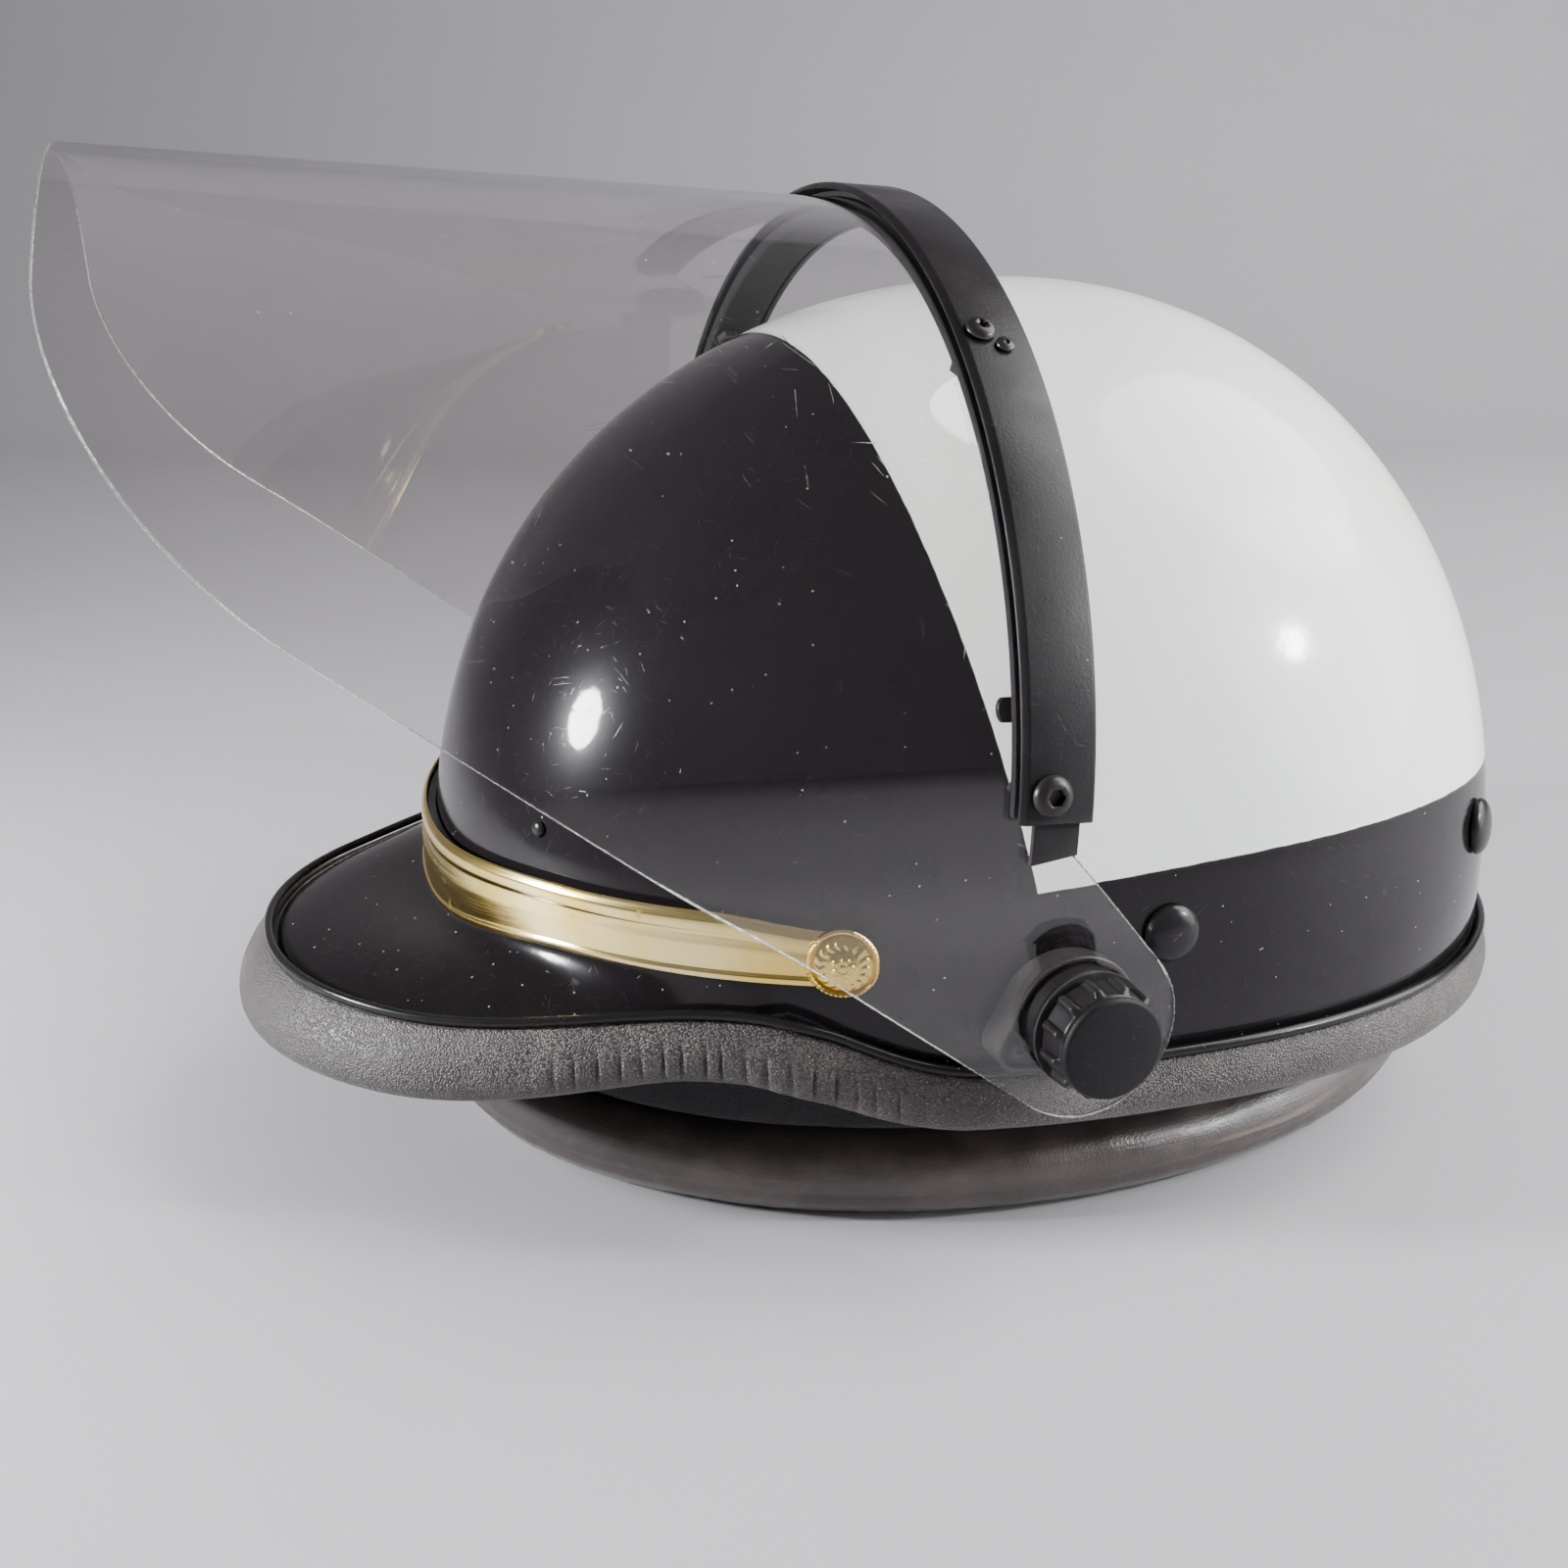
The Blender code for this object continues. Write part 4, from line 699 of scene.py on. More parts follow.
def clear_sheet():
    """Polycarbonate with a faint smoke tint, hairlines and dust; shadow rays pass straight through."""
    paint = Paint("clear_polycarbonate", Transmission_Weight=1.0, IOR=1.45, Specular_IOR_Level=0.28)
    smudge = paint.range(paint.noise(14.0, 5.0, 0.6, bend=1.0), 0.45, 0.75)
    tint = paint.mix(smudge, (0.885, 0.870, 0.872), (0.855, 0.838, 0.836))
    hair = paint.scratches(90.0, 3, 0.00005, 0.30)
    tint = paint.mix(paint.times(hair, 0.30), tint, (0.74, 0.72, 0.70))
    dust_and_glint_specks = paint.dust_and_glint_specks(260.0, 0.035, 0.10, 0.4)
    paint.set("Base Color", paint.mix(paint.times(dust_and_glint_specks, 0.6), tint, (0.55, 0.52, 0.48)))
    rough = paint.range(smudge, 0.35, 1.0, 0.0, 0.012)
    rough = paint.plus(rough, paint.times(hair, 0.06))
    paint.set("Roughness", paint.plus(rough, paint.times(dust_and_glint_specks, 0.5), clamp=True))
    paint.bump(paint.noise(22.0, 1.0), 0.00010, 0.4)
    paint.bump(hair, 0.000006)
    return through_shadows(paint, (0.93, 0.92, 0.91, 1.0))


def cut_edge():
    """The sheet's sawn and flame-polished edge, a little frosted, with a pale painted glow for the light that
    it gathers.
    """
    paint = Paint("polycarbonate_edge", Transmission_Weight=0.88, IOR=1.53, Specular_IOR_Level=0.30)
    streak = paint.noise(900.0, 3.0)
    # The pale base colour is a painted glow along the edge; the higher roughness is the real frosting of the
    # cut.
    paint.set("Base Color", paint.mix(streak, (0.62, 0.60, 0.60), (0.86, 0.84, 0.84)))
    paint.set("Roughness", paint.range(streak, 0.3, 0.7, 0.12, 0.34))
    paint.bump(streak, 0.00004)
    return through_shadows(paint, (0.85, 0.84, 0.83, 1.0))


def through_shadows(paint, colour):
    """Mixes the shader with a Transparent one for shadow rays only, so lamps light what is behind."""
    clear = paint.node("ShaderNodeBsdfTransparent")
    clear.inputs[0].default_value = colour
    mix = paint.node("ShaderNodeMixShader")
    path = paint.node("ShaderNodeLightPath")
    paint.feed(path.outputs["Is Shadow Ray"], mix.inputs[0])
    paint.feed(paint.shader.outputs[0], mix.inputs[1])
    paint.feed(clear.outputs[0], mix.inputs[2])
    paint.feed(mix.outputs[0], paint.tree.nodes["Material Output"].inputs["Surface"])
    return paint.made


def pale_floor():
    paint = Paint("pale_floor")
    paint.set("Base Color", paint.mix(paint.noise(3.0, 3.0), (0.43, 0.42, 0.44), (0.46, 0.45, 0.47)))
    paint.set("Roughness", paint.range(paint.noise(40.0, 3.0), 0.3, 0.7, 0.60, 0.70))
    return paint.made


PAINTS = {
    "shell_paint": shell_paint(),
    "peak_paint": peak_paint(),
    "trim_vinyl": grained_vinyl("grained_vinyl", (0.046, 0.036, 0.035), (0.130, 0.103, 0.098), 0.36, 0.56,
                                1900.0, 0.00014, 0.30),
    "piping_vinyl": hard_black("smooth_black_vinyl", (0.006, 0.006, 0.006), (0.014, 0.013, 0.013), 0.16, 0.30,
                               300.0, 0.00003, 0.15, dusty=0.08),
    "gold": gold_plate(),
    "rivet_lacquer": hard_black("black_lacquer", (0.008, 0.007, 0.008), (0.022, 0.020, 0.021), 0.18, 0.32,
                                500.0, 0.00002, 0.5),
    "bead_foam": bead_foam(),
    "pad_cloth": knit_cloth(),
    "sweat_leather": sweat_leather(),
    "roll_vinyl": roll_vinyl(),
    "webbing": strap_webbing(),
    "clear_sheet": clear_sheet(),
    "clear_edge": cut_edge(),
    "black_plastic": hard_black("black_plastic", (0.006, 0.005, 0.006), (0.015, 0.013, 0.014), 0.30, 0.46,
                                1500.0, 0.00003, 0.35, dusty=0.06),
    "cap_plastic": hard_black("matte_black_cap", (0.003, 0.002, 0.003), (0.006, 0.005, 0.006), 0.50, 0.64,
                              2200.0, 0.00003, 0.15, dusty=0.02),
    "seal_rubber": hard_black("black_rubber", (0.010, 0.009, 0.010), (0.022, 0.020, 0.021), 0.62, 0.85,
                              900.0, 0.00006, 0.1, dusty=0.10),
    "black_steel": hard_black("blackened_steel", (0.020, 0.018, 0.019), (0.050, 0.046, 0.047), 0.26, 0.42,
                              1300.0, 0.00002, 0.6, metal=0.6),
    "zinc_steel": bright_metal(),
}


# ---------------------------------------------------------------- shell geometry

def signed_power(value, power):
    return math.copysign(abs(value) ** power, value)


def plan_point(angle):
    """The shell's wall in plan; the angle in degrees runs from the front (0) over the wearer's left (90)."""
    turn = math.radians(angle)
    length = SHELL_FRONT if math.cos(turn) > 0 else SHELL_REAR
    x = SHELL_HALF_WIDTH * signed_power(math.sin(turn), 2 / PLAN_POWER)
    y = -length * signed_power(math.cos(turn), 2 / PLAN_POWER)
    return Vector((x, y, 0.0))


def plan_normal(angle):
    point = plan_point(angle)
    length = SHELL_FRONT if point.y < 0 else SHELL_REAR
    across = signed_power(point.x / SHELL_HALF_WIDTH, PLAN_POWER - 1) / SHELL_HALF_WIDTH
    along = signed_power(point.y / length, PLAN_POWER - 1) / length
    return Vector((across, along, 0.0)).normalized()


def dome_point(angle, tilt, offset):
    """A point off the shell's outer face; tilt runs from the wall's top (0) to the crown (90 degrees)."""
    turn = math.radians(tilt)
    spread = max(0.0, math.cos(turn)) ** (2 / DOME_POWER)
    rise = math.sin(turn) ** (2 / DOME_POWER)
    plan = plan_point(angle)
    height = CROWN - WALL_TOP
    length = SHELL_FRONT if plan.y < 0 else SHELL_REAR
    share = spread ** (DOME_POWER - PLAN_POWER) if spread > 1e-4 else 0.0
    across = signed_power(plan.x * spread / SHELL_HALF_WIDTH, PLAN_POWER - 1) / SHELL_HALF_WIDTH
    along = signed_power(plan.y * spread / length, PLAN_POWER - 1) / length
    normal = Vector((share * across, share * along, rise ** (DOME_POWER - 1) / height)).normalized()
    return Vector((plan.x * spread, plan.y * spread, WALL_TOP + height * rise)) + normal * offset


def tilt_at(height):
    rise = max(0.0, height - WALL_TOP) / (CROWN - WALL_TOP)
    return math.degrees(math.asin(rise ** (DOME_POWER / 2)))


def shell_point(angle, height, offset):
    """A point off the shell's outer face at a height, on the wall or on the dome."""
    if height <= WALL_TOP:
        return plan_point(angle) + plan_normal(angle) * offset + Vector((0.0, 0.0, height))
    return dome_point(angle, tilt_at(height), offset)


def shell_normal(angle, height):
    return (shell_point(angle, height, 0.001) - shell_point(angle, height, 0.0)).normalized()


# ---------------------------------------------------------------- rim geometry

def rim_angles(step):
    count = round(360.0 / step)
    return [step * index - 180.0 + step for index in range(count)]


def peak_wave(angle):
    """1 at the front of the peak, falling to 0 at the temples."""
    if abs(angle) >= PEAK_SPAN:
        return 0.0
    return math.cos(math.radians(90.0 * angle / PEAK_SPAN))


def rim_height(angle):
    turn = abs(angle)
    return RIM_FRONT + TEMPLE_HUMP * ramp(turn, 20.0, 51.0) - TEMPLE_DROP * ramp(turn, 52.0, 72.0)


def rim_offset(angle):
    """How far the face that the trim grips stands off the shell's outer face."""
    over_shell = GAP + PEAK_WALL
    return over_shell * (1.0 - ramp(abs(angle), PEAK_END, 61.0)) + PEAK_REACH * peak_wave(angle) ** 2


def rim_thickness(angle):
    """What the trim grips: the peak alone in front, peak and shell at the temples, the shell behind."""
    both = rim_offset(angle) + SHELL_WALL
    share = ramp(abs(angle), 43.0, 49.0)
    return PEAK_WALL * (1.0 - share) + both * share


def rim_point(angle):
    return plan_point(angle) + plan_normal(angle) * rim_offset(angle) + Vector((0.0, 0.0, rim_height(angle)))


def rim_frame(angle):
    """The gripped edge's outward and upward directions in its cross-section."""
    along = rim_point(angle + 0.5) - rim_point(angle - 0.5)
    out = Vector((-along.y, along.x, 0.0)).normalized()
    if out.dot(plan_normal(angle)) < 0:
        out.negate()
    tilt = LIP_TILT * peak_wave(angle)
    return out * math.cos(tilt) + UP * math.sin(tilt), UP * math.cos(tilt) - out * math.sin(tilt)


def rim_section(angle, profile):
    out, up = rim_frame(angle)
    origin = rim_point(angle)
    return [origin + out * across + up * height for across, height in profile]


def trim_depth(angle):
    temple = 1.0 - ramp(abs(abs(angle) - 57.0), 0.0, 15.0)
    return TRIM_DEPTH_SIDE + (TRIM_DEPTH_FRONT - TRIM_DEPTH_SIDE) * peak_wave(angle) + TEMPLE_SAG * temple


def trim_angles():
    """Stations round the trim: close enough at the temples for its puckers, wider apart elsewhere."""
    fine, wide = 0.2, 1.0
    bends = [(-180.0, -72.0, wide), (-72.0, -17.0, fine), (-17.0, 17.0, wide), (17.0, 72.0, fine),
             (72.0, 180.0, wide)]
    made = []
    for start, end, step in bends:
        made += [start + step * index for index in range(round((end - start) / step))]
    return made


def trim_wrinkle(angle, low):
    """Short upright puckers low on the outer face, where the channel is bent round the temple."""
    turn = abs(angle)
    zone = ramp(turn, 27.0, 40.0) * (1.0 - ramp(turn, 64.0, 70.0))
    if zone <= 0.0:
        return 0.0
    drift = 0.55 * noise.noise(Vector((angle * 0.45, 3.0, 0.0)))
    away = abs((turn / PUCKER_PITCH + drift) % 1.0 - 0.5)
    size = 0.75 + 0.45 * noise.noise(Vector((angle * 0.30, 7.0, 0.0)))
    reach = 0.46 + 0.16 * noise.noise(Vector((angle * 0.40, 12.0, 0.0)))
    return PUCKER_DEPTH * zone * size * (0.25 - bell(away, 0.0, 0.21)) * bell(low, 0.66, reach)


def trim_profile(angle):
    """The channel's section: outer leg, rounded foot, inner leg and the slot between them."""
    depth = trim_depth(angle)
    inner = -rim_thickness(angle) - GAP - 0.0001
    corners = [
        (GAP, 0.0),
        (0.0016, 0.0),
        (0.0030, -0.25 * depth),
        (0.0039, -0.55 * depth),
        (0.0035, -0.84 * depth),
        (0.0014, -depth),
        (inner - 0.0004, -depth),
        (inner - 0.0020, -0.80 * depth),
        (inner - 0.0016, -0.0028),
        (inner, -0.0020),
        (inner, -0.60 * depth),
        (GAP, -0.60 * depth),
    ]
    cuts = [0.0003, 0.0007, 0.006, 0.006, 0.006, 0.006, 0.003, 0.004, 0.0009, 0.0004, 0.0002, 0.0002]
    made = []
    for across, height in rounded(corners, cuts, 4):
        ripple = 0.0
        if across > 0.0008:
            ripple = trim_wrinkle(angle, -height / depth)
            ripple += 0.00012 * noise.noise(Vector((angle * 0.6, height * 500.0, 1.0)))
        made.append((across + ripple, height))
    return made


def band_low(angle):
    return BAND_LOW_FRONT + (BAND_LOW_SIDE - BAND_LOW_FRONT) * ramp(abs(angle), 0.0, 34.0)


def band_high(angle):
    rise = (BAND_HIGH_SIDE - BAND_HIGH_FRONT) * ramp(abs(angle), 0.0, 30.0)
    return BAND_HIGH_FRONT + rise - 0.0022 * ramp(abs(angle), 48.0, 62.0)


# ---------------------------------------------------------------- helmet pieces

def cap_solid(name, columns, outer_rows, inner_rows, paints, smooth=50.0):
    """A thick cap: rows of functions of the angle from the lower edge to the top, outside and then inside."""
    count = len(columns)
    rows = outer_rows[::-1] + inner_rows
    points = [row(angle) for row in rows for angle in columns]
    lay = [(index * 0.004, row * 0.004) for row in range(len(rows)) for index in range(count)]
    faces = []
    for row in range(len(rows) - 1):
        for step in range(count):
            after = (step + 1) % count
            faces.append((row * count + step, row * count + after,
                          (row + 1) * count + after, (row + 1) * count + step))
    last = (len(rows) - 1) * count
    faces.append(tuple(range(count)))
    faces.append(tuple(range(last, last + count)))
    return mesh_object(name, points, faces, paints, smooth, lay)


def shell_edge(angle):
    """The bare brow edge over the peak, and the edge inside the trim behind the temples."""
    inside = rim_height(angle) - 0.0065
    share = ramp(abs(angle), 49.0, 55.0)
    return BROW_EDGE * (1.0 - share) + inside * share


def make_shell():
    columns = rim_angles(1.25)
    tilts = [1.5 * step for step in range(60)] + [89.6]
    edge = 0.0008

    def rows(offset, inset):
        shoulder = 0.3 * inset + 0.7 * offset
        made = [lambda angle: shell_point(angle, shell_edge(angle), inset)]
        made.append(lambda angle: shell_point(angle, shell_edge(angle) + 0.25 * edge, shoulder))
        made.append(lambda angle: shell_point(angle, shell_edge(angle) + edge, offset))
        for tilt in tilts:
            made.append(lambda angle, tilt=tilt: dome_point(angle, tilt, offset))
        return made

    outer = rows(0.0, -0.0008)
    inner = rows(-SHELL_WALL, -SHELL_WALL + 0.0008)
    shell = cap_solid("shell_skin", columns, outer, inner, PAINTS["shell_paint"])
    stand_for(shell, "helmet", "shell_paint", "shell")


def peak_section(angle):
    """The peak's closed section: flange, swept plate, turned-down lip, and back along the underside."""
    sunk = ramp(abs(angle), PEAK_END - 8.0, PEAK_END)
    over = (GAP + PEAK_WALL) * (1.0 - sunk) + 0.00003 * sunk
    edge_sunk = ramp(abs(angle), PEAK_END - 4.0, PEAK_END)
    reach = (rim_offset(angle) - over) * (1.0 - edge_sunk)
    foot = rim_height(angle)
    root = band_low(angle) + 0.0005
    top = Vector((over, band_high(angle) - 0.0015))
    start = Vector((over, root))
    bend = Vector((over, root - 0.0070 * peak_wave(angle) - 0.0010))
    shoulder = Vector((over + 0.55 * reach, foot + 0.20 * reach + 0.0015))
    edge = Vector((over + reach, foot))
    tilt = LIP_TILT * peak_wave(angle)
    lip = Vector((math.sin(tilt), -math.cos(tilt))) * 0.5 * trim_depth(angle)
    outline = [top, top.lerp(start, 0.5), start]
    for step in range(1, 20):
        t = step / 20
        s = 1.0 - t
        outline.append(start * s ** 3 + bend * 3 * s * s * t + shoulder * 3 * s * t * t + edge * t ** 3)
    outline += [edge, edge + lip * 0.5, edge + lip]
    inside = []
    for index, point in enumerate(outline):
        before = outline[max(0, index - 1)]
        after = outline[min(len(outline) - 1, index + 1)]
        along = (after - before).normalized()
        inside.append(point + Vector((along.y, -along.x)) * PEAK_WALL)
    flange = Vector((-PEAK_WALL, 0.0))
    for index in range(3):
        inside[index] = outline[index] + flange
    base = plan_point(angle)
    normal = plan_normal(angle)
    section = []
    for point in outline + inside[::-1]:
        if point.y > WALL_TOP:
            section.append(shell_point(angle, point.y, point.x))
        else:
            section.append(base + normal * point.x + Vector((0.0, 0.0, point.y)))
    return section


def make_rim():
    front = [PEAK_END * (step / 80 - 1) for step in range(161)]
    peak = loft("peak_plate", [peak_section(angle) for angle in front], PAINTS["peak_paint"])
    stand_for(peak, "helmet", "peak_paint", "peak")
    columns = trim_angles()
    trim = loft("trim_channel", [rim_section(angle, trim_profile(angle)) for angle in columns],
                PAINTS["trim_vinyl"], True)
    stand_for(trim, "helmet", "trim_vinyl", "edge_trim")
    bead = []
    for step in range(14):
        turn = math.tau * step / 14
        bead.append((0.0016 + PIPING_RADIUS * math.cos(turn), 0.0015 + PIPING_RADIUS * math.sin(turn)))
    piping = loft("piping_bead", [rim_section(angle, bead) for angle in columns], PAINTS["piping_vinyl"],
                  True, 80.0)
    stand_for(piping, "helmet", "piping_vinyl", "edge_piping")


def make_cap_band():
    inner = 2 * GAP + PEAK_WALL + 0.0001
    outer = inner + BAND_WALL
    rings = []
    for step in range(181):
        angle = BAND_END * (step / 90 - 1)
        low = band_low(angle)
        high = band_high(angle)
        corners = [
            (inner, low),
            (outer - 0.0003, low),
            (outer, low + 0.0008),
            (outer, low + 0.0016),
            (outer - 0.0004, low + 0.0020),
            (outer - 0.0002, 0.5 * (low + high)),
            (outer - 0.0004, high - 0.0044),
            (outer, high - 0.0038),
            (outer, high - 0.0016),
            (outer - 0.0008, high),
            (inner, high),
        ]
        rings.append([shell_point(angle, height, offset) for offset, height in rounded(corners, 0.0005, 3)])
    band = loft("band_plate", rings, PAINTS["gold"], smooth=60.0)
    stand_for(band, "helmet", "gold", "cap_band")
    for side, word in SIDES:
        angle = side * (BAND_END - 1.2)
        centre = shell_point(angle, BUTTON_HEIGHT, outer + GAP)
        button = make_button(f"band_button_{word}", centre, shell_normal(angle, BUTTON_HEIGHT))
        stand_for(button, "helmet", "gold", f"cap_button_{word}")


def button_relief(radius, angle):
    """A plain wreath of paired leaves round a five-petalled rosette, raised on the button's dome."""
    share = radius / BUTTON_RADIUS
    spread = abs(share - 0.62) / 0.17
    leaf = 0.5 + 0.5 * math.cos(17 * angle + 3.4 * spread)
    stem = bell(share, 0.62, 0.035)
    wreath = bell(share, 0.62, 0.18) * max(leaf ** 1.3, 0.7 * stem)
    petal = 0.17 + 0.17 * abs(math.cos(2.5 * angle)) ** 0.6
    rosette = ramp(petal - share, 0.0, 0.06) * (1.0 - 0.6 * bell(share, 0.11, 0.035))
    return 0.00042 * wreath + 0.00046 * rosette


def make_button(name, centre, direction):
    turn = direction.to_track_quat("Z", "Y").to_matrix()
    segments = 132
    profile = [(0.90, 0.0), (0.97, 0.0001), (1.0, 0.0006), (0.995, 0.0012), (0.97, 0.0017), (0.93, 0.0020),
               (0.885, 0.0019), (0.855, 0.0014), (0.83, 0.0012)]
    for step in range(20):
        profile.append((0.80 - 0.04 * step, 0.0013 + 0.0016 * math.sin(math.pi / 2 * (step + 1) / 20)))
    rings = []
    for share, height in profile:
        ring = []
        for step in range(segments):
            angle = math.tau * step / segments
            radius = share * BUTTON_RADIUS
            rise = height
            if share > 0.87 and height > 0.0009:
                rise += 0.00016 * math.sin(44 * angle + 60.0 * share)
            if share < 0.84:
                rise += button_relief(radius, angle)
            ring.append(spun_point(centre, turn, radius, angle, rise))
        rings.append(ring)
    return loft(name, rings, PAINTS["gold"], smooth=70.0)


def dome_profile(head, crown, base, steps):
    """The (radius, height) run of a low dome from its rounded rim to the middle."""
    made = [(head * 0.985, base), (head, base + 0.12 * crown)]
    for step in range(1, steps):
        turn = math.pi / 2 * step / steps
        made.append((head * math.cos(turn) ** 0.9, base + (crown - base) * (0.12 + 0.88 * math.sin(turn))))
    made.append((head * 0.01, crown))
    return made


def make_rivets():
    # name, place, head radius, shank radius, crown, grip, tail radius
    rows = (
        ("strap_rivet_front", STRAP_RIVET_FRONT, 0.0062, 0.0020, 0.0032, 0.0063, 0.0045),
        ("strap_rivet_rear", STRAP_RIVET_REAR, 0.0068, 0.0020, 0.0032, 0.0063, 0.0045),
        ("peak_rivet", PEAK_RIVET, 0.0018, 0.0011, 0.0012, 0.0040, 0.0022),
    )
    for stem, (angle, height), head, shank, crown, grip, tail in rows:
        foot = [(tail * 0.2, -grip - 0.0013), (tail * 0.86, -grip - 0.0012), (tail, -grip - 0.0008),
                (tail, -grip), (shank, -grip), (shank, GAP), (head * 0.9, GAP)]
        profile = foot + dome_profile(head, crown, GAP, 12)
        for side, word in SIDES:
            made = turned(f"{stem}_dome_{word}", profile, 48, PAINTS["rivet_lacquer"],
                          shell_point(side * angle, height, 0.0), shell_normal(side * angle, height))
            stand_for(made, "helmet", "rivet_lacquer", f"{stem}_{word}")


def liner_outer(tilt):
    return -LINER_RELIEF + (LINER_RELIEF - SHELL_WALL - 0.0006) * ramp(tilt, 18.0, 39.0)


def liner_inner(tilt):
    return -LINER_RELIEF - LINER_SIDE - (LINER_CROWN - LINER_SIDE) * ramp(tilt, 20.0, 80.0)


def make_liner():
    columns = rim_angles(3.0)
    tilts = [6.0 + 3.0 * step for step in range(28)] + [89.0]

    def rows(offset, inset):
        made = [lambda angle: shell_point(angle, LINER_BOTTOM, offset(0.0) + inset)]
        made.append(lambda angle: shell_point(angle, LINER_BOTTOM + 0.0005, offset(0.0) + 0.25 * inset))
        made.append(lambda angle: shell_point(angle, LINER_BOTTOM + 0.0016, offset(0.0)))
        for tilt in tilts:
            made.append(lambda angle, tilt=tilt: dome_point(angle, tilt, offset(tilt)))
        return made

    liner = cap_solid("foam_liner", columns, rows(liner_outer, -0.0016), rows(liner_inner, 0.0016),
                      PAINTS["bead_foam"])
    stand_for(liner, "helmet", "bead_foam", "impact_liner")


def make_crown_pad():
    """A quilted pad: eight stuffed petals round a stuffed middle, sewn down along the lines between them."""
    columns = rim_angles(2.5)
    lowest = 66.0
    tilts = [lowest + (89.5 - lowest) * step / 20 for step in range(21)]
    outer = [lambda angle, tilt=tilt: dome_point(angle, tilt, liner_inner(tilt) - 0.0012) for tilt in tilts]

    def puff(angle, tilt):
        share = (90.0 - tilt) / (90.0 - lowest)
        rim = math.sqrt(max(0.0, 1.0 - share ** 6))
        petals = abs(math.sin(math.radians(4 * angle))) ** 0.45 if share > 0.30 else 1.0
        middle = 1.0 - 0.55 * bell(share, 0.32, 0.10)
        blend = ramp(share, 0.30, 0.42)
        crumple = 0.0003 * noise.noise(Vector((math.cos(math.radians(angle)) * share * 7.0,
                                               math.sin(math.radians(angle)) * share * 7.0, 2.0)))
        return 0.0012 + 0.0066 * rim * middle * (1.0 - 0.5 * blend * (1.0 - petals)) + crumple

    inner = [lambda angle, tilt=tilt: dome_point(angle, tilt, liner_inner(tilt) - 0.0004 - puff(angle, tilt))
             for tilt in tilts]
    pad = cap_solid("crown_pad_cloth", columns, outer, inner, PAINTS["pad_cloth"], 70.0)
    stand_for(pad, "helmet", "pad_cloth", "crown_pad")


def make_sweatband():
    """A leather-covered foam band: rolled lips, a stitched line and gentle swelling between its tacks."""
    inner = -LINER_RELIEF - LINER_SIDE - 0.0012
    low = LINER_BOTTOM + 0.0010
    rings = []
    for angle in rim_angles(1.5):
        swell = 0.0005 * abs(math.sin(math.radians(6 * angle))) ** 0.5
        swell += 0.0002 * noise.noise(Vector((angle * 0.05, 1.0, 4.0)))
        corners = [
            (0.0, low),
            (-0.0008, SWEATBAND_TOP),
            (-0.0006 - SWEATBAND_WALL, SWEATBAND_TOP),
            (-SWEATBAND_WALL + 0.0006 - swell, 0.72 * SWEATBAND_TOP + 0.28 * low),
            (-SWEATBAND_WALL - 0.0001 - swell, 0.40 * SWEATBAND_TOP + 0.60 * low),
            (-SWEATBAND_WALL + 0.0004, low + 0.0042),
            (-SWEATBAND_WALL, low),
        ]
        outline = divided(rounded(corners, 0.0016, 4), 0.0025)
        rings.append([shell_point(angle, height, inner + offset) for offset, height in outline])
    count = min(len(ring) for ring in rings)
    rings = [ring[:count] for ring in rings]
    band = loft("sweatband_leather", rings, PAINTS["sweat_leather"], True, 60.0)
    stand_for(band, "helmet", "sweat_leather", "sweatband")


def roll_point(angle, offset, height):
    """A point beside the neck roll's centreline, an ellipse a little ahead of the shell's centre."""
    turn = math.radians(angle)
    centre = Vector((ROLL_HALF_WIDTH * math.sin(turn), ROLL_SHIFT - ROLL_HALF_LENGTH * math.cos(turn), 0.0))
    out = Vector((math.sin(turn) / ROLL_HALF_WIDTH, -math.cos(turn) / ROLL_HALF_LENGTH, 0.0)).normalized()
    return centre + out * offset + Vector((0.0, 0.0, height))


def make_neck_roll():
    """A stuffed vinyl tube, flattened where the helmet stands on it, with a sewn seam low on the outside."""
    full = ROLL_RADIUS
    segments = 44
    rings = []
    for angle in rim_angles(0.75):
        ring = []
        for step in range(segments):
            turn = math.tau * step / segments
            across = math.cos(turn)
            rise = math.sin(turn)
            height = full * 0.98 * (1.0 + rise)
            reach = full * across
            fold = noise.noise(Vector((angle * 0.055, turn * 1.5, 5.0)))
            fine = noise.noise(Vector((angle * 0.50, turn * 2.2, 9.0)))
            tuck = 0.0011 * max(0.0, fold) ** 2 + 0.00016 * fine
            seam = 0.00075 * bell(turn, math.tau * 0.955, 0.17)
            shrink = 1.0 - (tuck + seam) / full
            reach *= shrink
            height = full * 0.98 + (height - full * 0.98) * shrink
            sag = 0.0014
            height = max(height, 0.0) if height > sag else sag * (height / sag) ** 2 if height > 0 else 0.0
            ring.append(roll_point(angle, reach, height + 0.0001))
        rings.append(ring)
    roll = loft("roll_vinyl_tube", rings, PAINTS["roll_vinyl"], True, 80.0)
    stand_for(roll, "helmet", "roll_vinyl", "neck_roll")


